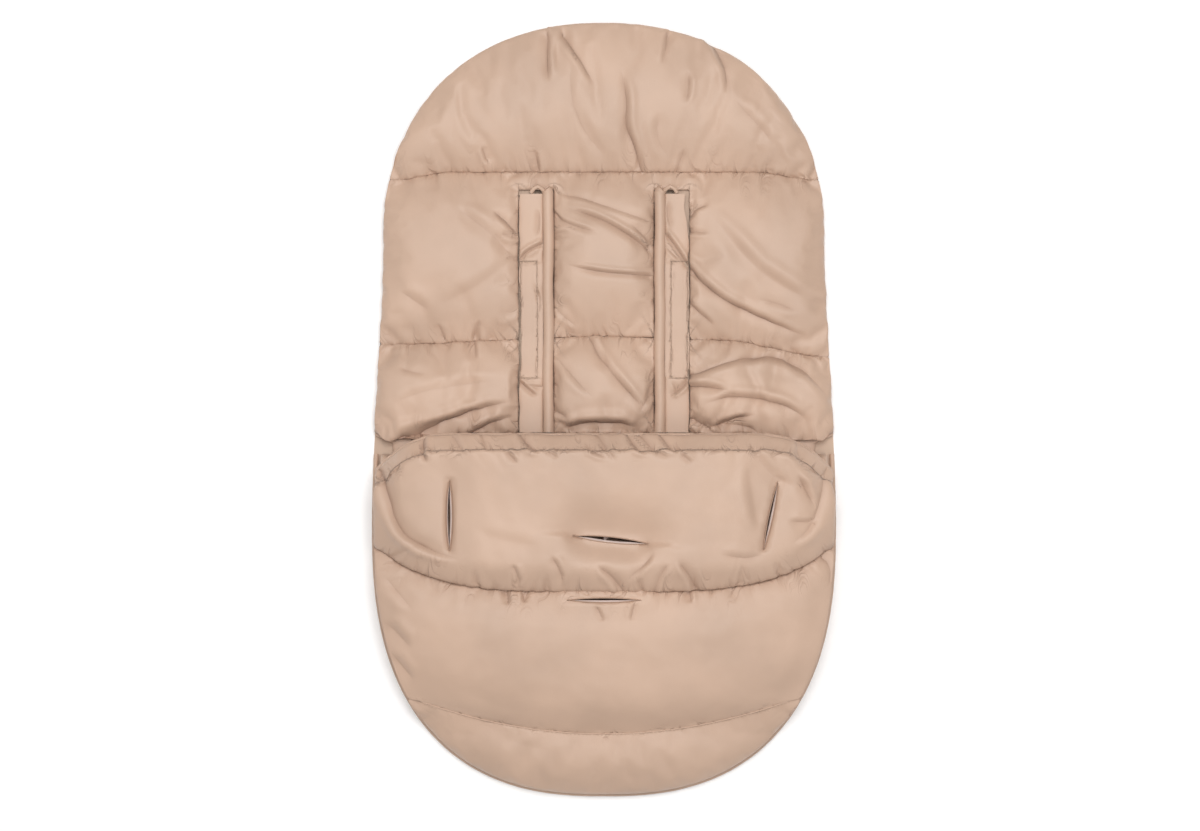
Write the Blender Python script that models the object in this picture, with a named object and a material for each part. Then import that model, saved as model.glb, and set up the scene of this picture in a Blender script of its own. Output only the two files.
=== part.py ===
"""Stroller footmuff, laid flat with its inside up.

A quilted back pad lies under a quilted leg cover. The pad has two harness slots, each with a corded
edge and a hook-and-loop flap. The cover is zipped to the pad along both sides and sewn to it round
the toes. Metres, +Z up, +Y towards the head, origin on the surface that it lies on.
"""

import math

import bmesh
import bpy
from mathutils import Vector

# Outline of the muff seen from above; a dome's share is its part of the length
LENGTH = 0.772
HEAD_HALF_WIDTH = 0.2205
HEAD_DOME_SHARE = 0.2785
HEAD_ROUNDNESS = 2.2
HIP_HALF_WIDTH = 0.2325
TOE_DOME_SHARE = 0.351
TOE_ROUNDNESS = 2.5
END_SIDE = 0.014

# Cross seams, as shares of the length from the head end
HEAD_SEAM_SHARE = 0.1904
BACK_SEAM_SHARE = 0.408
SEAT_SEAM_SHARE = 0.5285
SHIN_SEAM_SHARE = 0.7286
TOE_SEAM_SHARE = 0.9152
HEM_SETBACK = 0.0035

# Seams between neighbouring pieces
SEAT_GAP = 0.0003
SEAM_GAP = 0.0004

# Back pad
SHEET_THICKNESS = 0.0015
SEAM_HEIGHT = 0.006
PAD_CREST = 0.028
LEG_PAD_CREST = 0.022
TOE_PAD_CREST = 0.015
TOE_PAD_EDGE = 0.003
SEAM_REACH = 0.060
RIM_RADIUS = 0.026
LEG_PAD_STEP = 0.010

# Harness slots
SLOT_SPACING = 0.1114
SLOT_TOP_SETBACK = 0.018
SLOT_FOOT_SETBACK = 0.003
SLOT_EDGE_HEIGHT = 0.0145
PIPING_RADIUS = 0.005
PIPING_HEIGHT = 0.0135
SLOT_FLAP_WIDTH = 0.024
SLOT_FLAP_THICKNESS = 0.0015
SLOT_FLAP_CORNER = 0.002
SLOT_CLEARANCE = 0.0008
UNDERLAP_WIDTH = 0.0155
WAY_SETBACK = 0.020
TAPE_LENGTH = 0.118
TAPE_SETBACK = 0.071
TAPE_THICKNESS = 0.0012
TAPE_MARGIN = 0.0015

# Leg cover
COVER_INSET = 0.006
COVER_EDGE_HEIGHT = 0.0245
COVER_RISE = 0.021
COVER_ARCH = 3.2
COVER_SEAM_THICKNESS = 0.005
FLAP_CREST = 0.028
SHIN_CREST = 0.017
TOE_CREST = 0.015
COVER_RIM_RADIUS = 0.030
HEM_RADIUS = 0.018
FLAP_ROLL_REACH = 0.028
SHIN_REACH = 0.050
TOE_REACH = 0.040
HEM_CORNER_DROP = 0.037
HEM_CORNER_SHARE = 0.66
HEM_CORNER_CURVE = 2.4
SHIN_SEAM_LIFT = 0.043
SHIN_SEAM_CURVE = 4.0
TOE_SEAM_LIFT = 0.036
TOE_SEAM_CURVE = 2.0
TOE_EDGE_INSET = 0.003
TOE_DROP_LENGTH = 0.040
LINING_THICKNESS = 0.0012
LINING_INSET = 0.020
HEM_BINDING_RADIUS = 0.0024

# Belt slits in the cover
SLIT_WIDTH = 0.009
SLIT_WALL = 0.0009
SLIT_LIP = 0.0006
CUT_OVERRUN = 0.010
HIP_SLIT_LENGTH = 0.070
HIP_SLIT_INSET = 0.07425
HIP_SLIT_SETBACK = 0.078
HIP_SLIT_SHIFT = 0.006
RIGHT_SLIT_LEAN = math.radians(12)
CROTCH_SLIT_LENGTH = 0.076
CROTCH_SLIT_SETBACK = 0.1015
CROTCH_SLIT_SHIFT = 0.007
CROTCH_SLIT_LEAN = math.radians(-6)
LOWER_SLIT_LENGTH = 0.074
LOWER_SLIT_SETBACK = 0.010

# Edge piping, side zips and the tabs above them
EDGE_PIPING_RADIUS = 0.0024
ZIP_INSET = 0.010
ZIP_ROOM = 0.0075
ZIP_STRAIGHT = 0.127
ZIP_TAPE_HEIGHT = 0.0062
ZIP_TAPE_THICKNESS = 0.0008
ZIP_ROW_GAP = 0.0016
BEAD_HEIGHT = 0.0022
BEAD_THICKNESS = 0.0024
SLIDER_LENGTH = 0.011
SLIDER_HEIGHT = 0.009
SLIDER_PLATE = 0.0012
SLIDER_CLEARANCE = 0.0005
SLIDER_WEB = 0.0008
SLIDER_WEB_LENGTH = 0.003
SLIDER_PARK = 0.0045
BAIL_LENGTH = 0.0076
BAIL_ROD = 0.0011
BAIL_ROOM = 0.0020
PULL_LENGTH = 0.020
PULL_WIDTH = 0.007
PULL_BAR = 0.0012
PULL_EYE = 0.0095
PULL_CORNER = 0.0012
GARAGE_LENGTH = 0.019
GARAGE_WIDTH = 0.0085
GARAGE_THICKNESS = 0.0015
GARAGE_HEIGHT = 0.0215
GARAGE_ROUND_SHARE = 0.45
GARAGE_LOW_SHARE = 0.35

# How strongly a grid's lines gather towards its edges, where the wadding curves most
CROWD_SHARE = 0.7

# Places that follow from the sizes above
HEAD_END_Y = LENGTH / 2
TOE_END_Y = -LENGTH / 2
HEAD_SEAM_Y = HEAD_END_Y - LENGTH * HEAD_SEAM_SHARE
BACK_SEAM_Y = HEAD_END_Y - LENGTH * BACK_SEAM_SHARE
SEAT_SEAM_Y = HEAD_END_Y - LENGTH * SEAT_SEAM_SHARE
SHIN_SEAM_Y = HEAD_END_Y - LENGTH * SHIN_SEAM_SHARE
TOE_SEAM_Y = HEAD_END_Y - LENGTH * TOE_SEAM_SHARE
HEM_Y = SEAT_SEAM_Y - HEM_SETBACK
HEAD_DOME = LENGTH * HEAD_DOME_SHARE
TOE_DOME = LENGTH * TOE_DOME_SHARE
HEAD_Y = HEAD_END_Y - HEAD_DOME
HIP_Y = TOE_END_Y + TOE_DOME
PAD_FLOOR = SHEET_THICKNESS + SEAT_GAP
PIPING_X = SLOT_SPACING / 2
SLOT_TOP_Y = HEAD_SEAM_Y - SLOT_TOP_SETBACK
SLOT_FOOT_Y = SEAT_SEAM_Y + SLOT_FOOT_SETBACK
SLOT_INNER_X = PIPING_X - PIPING_RADIUS - SEAT_GAP
FLAP_INNER_X = PIPING_X + PIPING_RADIUS + SEAT_GAP
SLOT_OUTER_X = FLAP_INNER_X + SLOT_FLAP_WIDTH + SLOT_CLEARANCE
WAY_OUTER_X = SLOT_OUTER_X - UNDERLAP_WIDTH - SEAT_GAP
SLOT_FLAP_FLOOR = PIPING_HEIGHT - SLOT_FLAP_THICKNESS / 2
UNDERLAP_FLOOR = SLOT_FLAP_FLOOR - 2 * TAPE_THICKNESS - 3 * SEAT_GAP - SLOT_FLAP_THICKNESS
HEAD_FOLD_Z = PAD_FLOOR + SEAM_HEIGHT
SEAT_FOLD_Z = PAD_FLOOR + 2 * SEAM_HEIGHT
TOE_EDGE_HEIGHT = PAD_FLOOR + 2 * EDGE_PIPING_RADIUS + SEAT_GAP
ZIP_TOP_Y = HEM_Y - HEM_CORNER_DROP
ZIP_STRAIGHT_Y = ZIP_TOP_Y - ZIP_STRAIGHT
ZIP_END_Y = TOE_SEAM_Y + TOE_SEAM_LIFT
ZIP_MIDDLE_Z = COVER_EDGE_HEIGHT - ZIP_TAPE_HEIGHT - BEAD_HEIGHT - ZIP_ROW_GAP / 2
LEG_PAD_INSET = ZIP_INSET + ZIP_ROOM
HIP_SLIT_X = HIP_HALF_WIDTH - HIP_SLIT_INSET
PLATE_X = BEAD_THICKNESS / 2 + SLIDER_CLEARANCE
GARAGE_TOP_Y = ZIP_TOP_Y + SEAT_GAP + GARAGE_LENGTH

# Colours of the photographed cloth and its fittings
BEIGE = (0.61, 0.44, 0.33)
BEIGE_SHADE = (0.55, 0.40, 0.30)
LINING_COLOUR = (0.80, 0.70, 0.67)
TAPE_COLOUR = (0.50, 0.36, 0.27)
METAL_COLOUR = (0.45, 0.40, 0.35)


def clamped(share):
    return min(1.0, max(0.0, share))


def between(low, high, share):
    return low + (high - low) * share


def eased(share):
    share = clamped(share)
    return share * share * (3 - 2 * share)


def crowded(share):
    """Moves a share from -1 to 1 towards the nearer end."""
    return between(share, math.sin(share * math.pi / 2), CROWD_SHARE)


def crowded_along(share):
    return (crowded(2 * share - 1) + 1) / 2


def side_name(side):
    return "right" if side > 0 else "left"


# Shapes of the outline, the seams and the wadding


def half_width(y, inset=0.0):
    """Half the muff's width at y, with domed ends and slightly bellied sides."""
    if y > HEAD_Y:
        share = clamped((y - HEAD_Y) / (HEAD_DOME - inset))
        return (HEAD_HALF_WIDTH - inset) * (1 - share ** HEAD_ROUNDNESS) ** (1 / HEAD_ROUNDNESS)
    if y < HIP_Y:
        share = clamped((HIP_Y - y) / (TOE_DOME - inset))
        return (HIP_HALF_WIDTH - inset) * (1 - share ** TOE_ROUNDNESS) ** (1 / TOE_ROUNDNESS)
    side = between(HIP_HALF_WIDTH, HEAD_HALF_WIDTH, eased((y - HIP_Y) / (HEAD_Y - HIP_Y)))
    return side - inset


def rim_share(x, y):
    """0 on the muff's spine and 1 on its outline."""
    if y > HEAD_Y:
        across = abs(x) / HEAD_HALF_WIDTH
        along = (y - HEAD_Y) / HEAD_DOME
        return (across ** HEAD_ROUNDNESS + along ** HEAD_ROUNDNESS) ** (1 / HEAD_ROUNDNESS)
    if y < HIP_Y:
        across = abs(x) / HIP_HALF_WIDTH
        along = (HIP_Y - y) / TOE_DOME
        return (across ** TOE_ROUNDNESS + along ** TOE_ROUNDNESS) ** (1 / TOE_ROUNDNESS)
    return abs(x) / half_width(y)


def rim_distance(x, y):
    return (1 - rim_share(x, y)) * HIP_HALF_WIDTH


def rounded_end(start_y, tip_y, inset=0.0, steps=48):
    """The outline beyond start_y, as a function of a share from -1 to 1 of its length."""
    rim = []
    for step in range(steps + 1):
        y = between(start_y, tip_y, math.sin(step / steps * math.pi / 2))
        rim.append(Vector((half_width(y, inset), y)))
    lengths = [0.0]
    for before, after in zip(rim, rim[1:]):
        lengths.append(lengths[-1] + (after - before).length)

    def point(across):
        reach = (1 - abs(across)) * lengths[-1]
        index = next((step for step in range(steps) if lengths[step + 1] >= reach), steps - 1)
        share = (reach - lengths[index]) / (lengths[index + 1] - lengths[index])
        spot = rim[index].lerp(rim[index + 1], clamped(share))
        return math.copysign(spot.x, across), spot.y

    return point


def seam_swell(distance, reach):
    """How far wadding has risen at a distance from a stitched seam."""
    return math.sin(clamped(distance / reach) * math.pi / 2)


def rim_swell(distance, radius):
    """The rounder rise beside a turned edge."""
    return math.sqrt(1 - (1 - clamped(distance / radius)) ** 2)


def slot_share(x, y):
    """0 at the edge of a harness slot, where the pad is drawn in, and 1 from the head seam on."""
    beside = max(SLOT_INNER_X - abs(x), abs(x) - SLOT_OUTER_X, 0.0)
    above = max(y - SLOT_TOP_Y, 0.0)
    return seam_swell(math.hypot(beside, above), SLOT_TOP_SETBACK)


def pad_top(low_seam, high_seam):
    """Height of the back pad between two straight seams; the head pad has only the lower one."""

    def height(x, y):
        swell = rim_swell(rim_distance(x, y), RIM_RADIUS) * seam_swell(y - low_seam, SEAM_REACH)
        if high_seam is not None:
            swell *= seam_swell(high_seam - y, SEAM_REACH)
        quilted = PAD_FLOOR + between(SEAM_HEIGHT, PAD_CREST, swell)
        return between(SLOT_EDGE_HEIGHT, quilted, slot_share(x, y))

    return height


def zip_x(y):
    """The zips run straight past the hips and then follow the outline."""
    return min(half_width(y, ZIP_INSET), half_width(ZIP_STRAIGHT_Y, ZIP_INSET))


def leg_half_width(y):
    """The leg pad is full at the hip and stands back below it to make room for tabs and zips."""
    back = eased((GARAGE_TOP_Y + 2 * LEG_PAD_STEP - y) / LEG_PAD_STEP)
    return between(half_width(y), zip_x(y) - ZIP_ROOM, back)


def leg_pad_top(low_seam, high_seam):

    def height(x, y):
        swell = rim_swell(leg_half_width(y) - abs(x), RIM_RADIUS)
        swell *= seam_swell(y - low_seam, SEAM_REACH) * seam_swell(high_seam - y, SEAM_REACH)
        return PAD_FLOOR + between(SEAM_HEIGHT, LEG_PAD_CREST, swell)

    return height


def toe_pad_top(x, y):
    swell = (rim_swell(rim_distance(x, y) - LEG_PAD_INSET, RIM_RADIUS)
             * seam_swell(TOE_SEAM_Y - y, SEAM_REACH))
    return PAD_FLOOR + between(TOE_PAD_EDGE, TOE_PAD_CREST, swell)


def shin_seam_y(x):
    share = clamped(abs(x) / (HIP_HALF_WIDTH - COVER_INSET))
    return SHIN_SEAM_Y + SHIN_SEAM_LIFT * share ** SHIN_SEAM_CURVE


def toe_seam_y(x):
    share = clamped(abs(x) / half_width(ZIP_END_Y, COVER_INSET))
    return TOE_SEAM_Y + TOE_SEAM_LIFT * share ** TOE_SEAM_CURVE


def hem_y(x):
    """The cover's top edge, straight in the middle and rounded down to the zips."""
    share = abs(x) / (HIP_HALF_WIDTH - COVER_INSET)
    corner = clamped((share - HEM_CORNER_SHARE) / (1 - HEM_CORNER_SHARE))
    return HEM_Y - HEM_CORNER_DROP * corner ** HEM_CORNER_CURVE


def toe_drop(y):
    """0 along the zips and 1 round the toes, where the cover comes down to the edge piping."""
    return eased((ZIP_END_Y - y) / TOE_DROP_LENGTH)


def cover_inner_z(x, y):
    """Underside of the padded cover, arched from side to side."""
    drop = toe_drop(y)
    inset = between(COVER_INSET, TOE_EDGE_INSET, drop)
    edge = between(COVER_EDGE_HEIGHT, TOE_EDGE_HEIGHT, drop)
    share = clamped(rim_share(x, y) * HIP_HALF_WIDTH / (HIP_HALF_WIDTH - inset))
    return between(COVER_EDGE_HEIGHT + COVER_RISE, edge, share ** COVER_ARCH)


def cover_side_swell(x, y):
    return rim_swell(half_width(y, COVER_INSET) - abs(x), COVER_RIM_RADIUS)


def flap_outer_z(x, y):
    swell = (rim_swell(hem_y(x) - y, HEM_RADIUS) * seam_swell(y - shin_seam_y(x), FLAP_ROLL_REACH)
             * cover_side_swell(x, y))
    return cover_inner_z(x, y) + between(COVER_SEAM_THICKNESS, FLAP_CREST, swell)


def shin_outer_z(x, y):
    swell = (seam_swell(shin_seam_y(x) - y, SHIN_REACH) * seam_swell(y - toe_seam_y(x), SHIN_REACH)
             * cover_side_swell(x, y))
    return cover_inner_z(x, y) + between(COVER_SEAM_THICKNESS, SHIN_CREST, swell)


def toe_outer_z(x, y):
    swell = (seam_swell(toe_seam_y(x) - y, TOE_REACH)
             * rim_swell(rim_distance(x, y) - TOE_EDGE_INSET, COVER_RIM_RADIUS))
    return cover_inner_z(x, y) + between(COVER_SEAM_THICKNESS, TOE_CREST, swell)


def lining_top_z(x, y):
    return cover_inner_z(x, y) - SEAT_GAP


def lining_floor_z(x, y):
    return lining_top_z(x, y) - LINING_THICKNESS


def level(value):
    """The same value anywhere, as a height or as a straight seam."""
    return lambda *place: value


# Plans that turn a square grid into a panel's shape


def band_plan(low, high, half):
    """Between two cross seams, with sides that follow half(y)."""

    def plan(across, along):
        y = between(low(0.0), high(0.0), along)
        for _ in range(6):
            x = crowded(across) * half(y)
            y = between(low(x), high(x), crowded_along(along))
        return x, y

    return plan


def end_plan(seam, seam_half, rim):
    """Between a cross seam and the rounded end beyond it."""

    def plan(across, along):
        seam_x = crowded(across) * seam_half
        rim_x, rim_y = rim(across)
        share = crowded_along(along)
        return between(seam_x, rim_x, share), between(seam(seam_x), rim_y, share)

    return plan


# Helpers that make solids


def thicken(bm, low, high):
    """Turns a flat sheet of faces into a closed body between two heights."""
    lower = bm.verts[:]
    grown = bmesh.ops.extrude_face_region(bm, geom=bm.faces[:], use_keep_orig=True)
    upper = [item for item in grown["geom"] if isinstance(item, bmesh.types.BMVert)]
    for vertex in lower:
        vertex.co.z = low(vertex.co.x, vertex.co.y)
    for vertex in upper:
        vertex.co.z = high(vertex.co.x, vertex.co.y)
    bmesh.ops.recalc_face_normals(bm, faces=bm.faces)
    return bm


def panel(columns, rows, plan, low, high, keep=None):
    """A cloth or pad: a grid laid out to its plan, less any faces not kept, then thickened."""
    bm = bmesh.new()
    bmesh.ops.create_grid(bm, x_segments=columns, y_segments=rows, size=1.0)
    for vertex in bm.verts:
        x, y = plan(vertex.co.x, (vertex.co.y + 1) / 2)
        vertex.co = (x, y, 0.0)
    if keep is not None:
        spare = [face for face in bm.faces if not keep(face.calc_center_median())]
        bmesh.ops.delete(bm, geom=spare, context="FACES")
    return thicken(bm, low, high)


def rounded_plate(size, corner, middle, floor):
    """A flat plate with rounded corners, given as width, length and thickness."""
    width, length, thickness = size
    bm = bmesh.new()
    bmesh.ops.create_grid(bm, x_segments=1, y_segments=1, size=1.0)
    bmesh.ops.scale(bm, vec=(width / 2, length / 2, 1.0), verts=bm.verts)
    bmesh.ops.bevel(bm, geom=bm.verts[:], offset=corner, segments=3, profile=0.5,
                    affect="VERTICES")
    bmesh.ops.translate(bm, vec=(*middle, 0.0), verts=bm.verts)
    return thicken(bm, level(floor), level(floor + thickness))


def block(size, middle):
    bm = bmesh.new()
    bmesh.ops.create_cube(bm, size=1.0)
    bmesh.ops.scale(bm, vec=size, verts=bm.verts)
    bmesh.ops.translate(bm, vec=middle, verts=bm.verts)
    return bm


def loft(rings):
    """A closed body through rings that have equal numbers of points."""
    bm = bmesh.new()
    face = bm.faces.new([bm.verts.new(point) for point in rings[0]])
    spare = []
    for ring in rings[1:]:
        grown = bmesh.ops.extrude_face_region(bm, geom=[face])
        face = next(item for item in grown["geom"] if isinstance(item, bmesh.types.BMFace))
        for vertex, point in zip(face.verts, ring):
            vertex.co = point
        spare.append(face)
    bmesh.ops.delete(bm, geom=spare[:-1], context="FACES_ONLY")
    bmesh.ops.recalc_face_normals(bm, faces=bm.faces)
    return bm


def finish_of(name, colour, roughness, metallic=0.0):
    """A material of one plain colour."""
    made = bpy.data.materials.new(name)
    made.use_nodes = True
    shader = made.node_tree.nodes["Principled BSDF"]
    shader.inputs["Base Color"].default_value = (*colour, 1.0)
    shader.inputs["Roughness"].default_value = roughness
    shader.inputs["Metallic"].default_value = metallic
    return made


def pivot(name, place, parent=None):
    """An empty on a joint's axis, which carries the pieces that the joint moves."""
    empty = bpy.data.objects.new(name, None)
    bpy.context.scene.collection.objects.link(empty)
    empty["place"] = place
    empty.location = place
    if parent is not None:
        empty.parent = parent
        empty.location = Vector(place) - Vector(parent["place"])
    return empty


def add(name, bm, finish, carrier=None):
    """Turns a bmesh into a named object whose origin is its carrier's axis."""
    if carrier is not None:
        bmesh.ops.translate(bm, vec=-Vector(carrier["place"]), verts=bm.verts)
    mesh = bpy.data.meshes.new(name)
    bm.to_mesh(mesh)
    bm.free()
    mesh.materials.append(finish)
    mesh.shade_smooth()
    mesh.set_sharp_from_angle(angle=math.radians(40))
    made = bpy.data.objects.new(name, mesh)
    bpy.context.scene.collection.objects.link(made)
    if carrier is not None:
        made.parent = carrier
    return made


def hidden(name, bm, finish, carrier):
    """A tool body for Booleans, which isn't a piece of the muff."""
    made = add(name, bm, finish, carrier)
    made.hide_render = True
    made.display_type = "WIRE"
    return made


def combine(target, tool, operation):
    modifier = target.modifiers.new(tool.name, "BOOLEAN")
    modifier.operation = operation
    modifier.solver = "EXACT"
    modifier.object = tool


def roll(name, points, radius, finish, carrier, roundness):
    """A corded roll of cloth along a line of points."""
    place = Vector(carrier["place"]) if carrier is not None else Vector()
    curve = bpy.data.curves.new(name, "CURVE")
    curve.dimensions = "3D"
    curve.bevel_depth = radius
    curve.bevel_resolution = roundness
    curve.use_fill_caps = True
    spline = curve.splines.new("POLY")
    spline.points.add(len(points) - 1)
    for knot, point in zip(spline.points, points):
        knot.co = (*(Vector(point) - place), 1.0)
    curve.materials.append(finish)
    made = bpy.data.objects.new(name, curve)
    bpy.context.scene.collection.objects.link(made)
    if carrier is not None:
        made.parent = carrier
    return made


# The pieces, body by body


def slotted_x(across, y, inner, outer, sides=6, middles=6):
    """Columns of a panel with two slots: side, slot, middle, slot, side."""
    columns = 2 * sides + 2 + middles
    place = abs(across) * columns / 2
    if place <= middles / 2:
        x = place / (middles / 2) * inner
    elif place <= middles / 2 + 1:
        x = between(inner, outer, place - middles / 2)
    else:
        x = between(outer, half_width(y), crowded((place - middles / 2 - 1) / sides))
    return math.copysign(x, across)


def build_back(beige, shade, tape):
    """The pad behind the child, with its harness slots. Everything else hangs on it."""
    sides, middles = 6, 6
    columns = 2 * sides + 2 + middles

    low = BACK_SEAM_Y + SEAM_GAP / 2
    high = HEAD_SEAM_Y - SEAM_GAP / 2
    rows, rows_above = 11, 3

    def shoulder_plan(across, along):
        row = round(along * rows)
        if row <= rows - rows_above:
            y = between(low, SLOT_TOP_Y, row / (rows - rows_above))
        else:
            y = between(SLOT_TOP_Y, high, (row - rows + rows_above) / rows_above)
        return slotted_x(across, y, SLOT_INNER_X, SLOT_OUTER_X), y

    add("shoulder_pad",
        panel(columns, rows, shoulder_plan, level(PAD_FLOOR), pad_top(BACK_SEAM_Y, HEAD_SEAM_Y),
              lambda spot: not (spot.y < SLOT_TOP_Y and SLOT_INNER_X < abs(spot.x) < SLOT_OUTER_X)),
        beige)

    low = SEAT_SEAM_Y + SEAM_GAP / 2
    high = BACK_SEAM_Y - SEAM_GAP / 2
    top = pad_top(SEAT_SEAM_Y, BACK_SEAM_Y)
    rows = 8

    def middle_plan(across, along):
        return crowded(across) * SLOT_INNER_X, between(low, high, crowded_along(along))

    add("lumbar_pad_middle", panel(middles, rows, middle_plan, level(PAD_FLOOR), top), beige)
    for side in (-1, 1):

        def side_plan(across, along):
            y = between(low, high, crowded_along(along))
            return side * between(SLOT_OUTER_X, half_width(y), (crowded(across) + 1) / 2), y

        add("lumbar_pad_" + side_name(side),
            panel(sides + 2, rows, side_plan, level(PAD_FLOOR), top), beige)

    # The rear cloth is open between the underlap and the piping, where the harness goes through.
    way_foot = SLOT_FOOT_Y + WAY_SETBACK
    cloth_ys = [low, way_foot, between(way_foot, SLOT_TOP_Y, 0.5), SLOT_TOP_Y,
                HEAD_SEAM_Y - SEAM_GAP / 2]

    def cloth_plan(across, along):
        y = cloth_ys[round(along * (len(cloth_ys) - 1))]
        return slotted_x(across, y, FLAP_INNER_X, WAY_OUTER_X), y

    add("rear_cloth_back",
        panel(columns, len(cloth_ys) - 1, cloth_plan, level(0.0), level(SHEET_THICKNESS),
              lambda spot: not (way_foot < spot.y < SLOT_TOP_Y
                                and FLAP_INNER_X < abs(spot.x) < WAY_OUTER_X)), shade)

    length = SLOT_TOP_Y - SLOT_FOOT_Y
    middle_y = (SLOT_TOP_Y + SLOT_FOOT_Y) / 2
    tape_y = SLOT_TOP_Y - TAPE_SETBACK - TAPE_LENGTH / 2
    tape_size = (UNDERLAP_WIDTH - 2 * TAPE_MARGIN, TAPE_LENGTH, TAPE_THICKNESS)
    for side in (-1, 1):
        name = side_name(side)
        x = side * PIPING_X
        lap_x = side * (SLOT_OUTER_X - SEAT_GAP - UNDERLAP_WIDTH / 2)
        roll("slot_piping_" + name,
             [(x, between(SLOT_FOOT_Y, SLOT_TOP_Y, step / 8), PIPING_HEIGHT) for step in range(9)],
             PIPING_RADIUS, beige, None, 4)
        add("slot_underlap_" + name,
            rounded_plate((UNDERLAP_WIDTH, length, SLOT_FLAP_THICKNESS), SLOT_FLAP_CORNER,
                          (lap_x, middle_y), UNDERLAP_FLOOR), shade)
        add("loop_tape_" + name,
            rounded_plate(tape_size, TAPE_MARGIN, (lap_x, tape_y),
                          UNDERLAP_FLOOR + SLOT_FLAP_THICKNESS + SEAT_GAP), tape)

        # The flap turns about the middle of the piping that it is sewn to.
        carrier = pivot("slot_flap_axis_" + name, (x, middle_y, PIPING_HEIGHT))
        add("slot_flap_" + name,
            rounded_plate((SLOT_FLAP_WIDTH, length - SLOT_CLEARANCE, SLOT_FLAP_THICKNESS),
                          SLOT_FLAP_CORNER, (side * (FLAP_INNER_X + SLOT_FLAP_WIDTH / 2), middle_y),
                          SLOT_FLAP_FLOOR), beige, carrier)
        add("hook_tape_" + name,
            rounded_plate(tape_size, TAPE_MARGIN, (lap_x, tape_y),
                          SLOT_FLAP_FLOOR - SEAT_GAP - TAPE_THICKNESS), tape, carrier)


def build_head(beige, shade):
    """The rounded head section, which folds up at the first seam."""
    carrier = pivot("head_fold_axis", (0.0, HEAD_SEAM_Y, HEAD_FOLD_Z))
    low = HEAD_SEAM_Y + SEAM_GAP / 2
    plan = end_plan(level(low), half_width(low), rounded_end(low + END_SIDE, HEAD_END_Y))
    add("head_pad",
        panel(20, 10, plan, level(PAD_FLOOR), pad_top(HEAD_SEAM_Y, None)), beige, carrier)
    add("rear_cloth_head",
        panel(20, 1, plan, level(0.0), level(SHEET_THICKNESS)), shade, carrier)


def build_legs(beige, shade, carrier):
    """The pad under the legs, which the cover hides, and the cord round its edge."""
    add("seat_pad",
        panel(14, 13, band_plan(level(SHIN_SEAM_Y + SEAM_GAP / 2), level(SEAT_SEAM_Y - SEAM_GAP / 2),
                               leg_half_width),
              level(PAD_FLOOR), leg_pad_top(SHIN_SEAM_Y, SEAT_SEAM_Y)), beige, carrier)
    add("shin_pad",
        panel(14, 7, band_plan(level(TOE_SEAM_Y + SEAM_GAP / 2), level(SHIN_SEAM_Y - SEAM_GAP / 2),
                               leg_half_width),
              level(PAD_FLOOR), leg_pad_top(TOE_SEAM_Y, SHIN_SEAM_Y)), beige, carrier)
    toe_y = TOE_SEAM_Y - SEAM_GAP / 2
    plan = end_plan(level(toe_y), half_width(toe_y, LEG_PAD_INSET),
                    rounded_end(toe_y - END_SIDE / 2, TOE_END_Y + LEG_PAD_INSET, LEG_PAD_INSET))
    add("toe_pad", panel(14, 4, plan, level(PAD_FLOOR), toe_pad_top), beige, carrier)

    high = SEAT_SEAM_Y - SEAM_GAP / 2
    plan = end_plan(level(high), half_width(high), rounded_end(high - END_SIDE, TOE_END_Y))
    add("rear_cloth_legs",
        panel(28, 2, plan, level(0.0), level(SHEET_THICKNESS)), shade, carrier)

    rim = rounded_end(GARAGE_TOP_Y, TOE_END_Y + EDGE_PIPING_RADIUS, EDGE_PIPING_RADIUS)
    spots = [rim(between(-1.0, 1.0, step / 48)) for step in range(49)]
    roll("edge_piping", [(x, y, PAD_FLOOR + EDGE_PIPING_RADIUS) for x, y in spots],
         EDGE_PIPING_RADIUS, beige, carrier, 2)


def slit_trim(middle, length, lean, width_less, top):
    """The trim in a slit: an oval ring from under the lining to just above the cover."""
    bm = bmesh.new()
    for wall in (SEAT_GAP, SEAT_GAP + SLIT_WALL):
        grown = bmesh.ops.create_circle(bm, segments=18, radius=1.0, cap_ends=False)
        bmesh.ops.scale(bm, vec=(width_less / 2 - wall, length / 2 - wall, 1.0),
                        verts=grown["verts"])
    bmesh.ops.bridge_loops(bm, edges=bm.edges[:])
    place_slit(bm, middle, lean)
    return thicken(bm, lambda x, y: lining_floor_z(x, y) - SLIT_LIP,
                   lambda x, y: top(x, y) + SLIT_LIP)


def slit_hole(middle, length, lean, width):
    """The oval hole for a slit, long enough to go right through the cover."""
    bm = bmesh.new()
    bmesh.ops.create_circle(bm, segments=18, radius=1.0, cap_ends=True)
    bmesh.ops.scale(bm, vec=(width / 2, length / 2, 1.0), verts=bm.verts)
    place_slit(bm, middle, lean)
    top = COVER_EDGE_HEIGHT + COVER_RISE + FLAP_CREST + CUT_OVERRUN
    return thicken(bm, level(COVER_EDGE_HEIGHT - CUT_OVERRUN), level(top))


def place_slit(bm, middle, lean):
    """Turns a slit drawn along Y clockwise by its lean and moves it to its middle."""
    cosine, sine = math.cos(lean), math.sin(lean)
    for vertex in bm.verts:
        x, y = vertex.co.x, vertex.co.y
        vertex.co.x = middle[0] + cosine * x + sine * y
        vertex.co.y = middle[1] - sine * x + cosine * y


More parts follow.
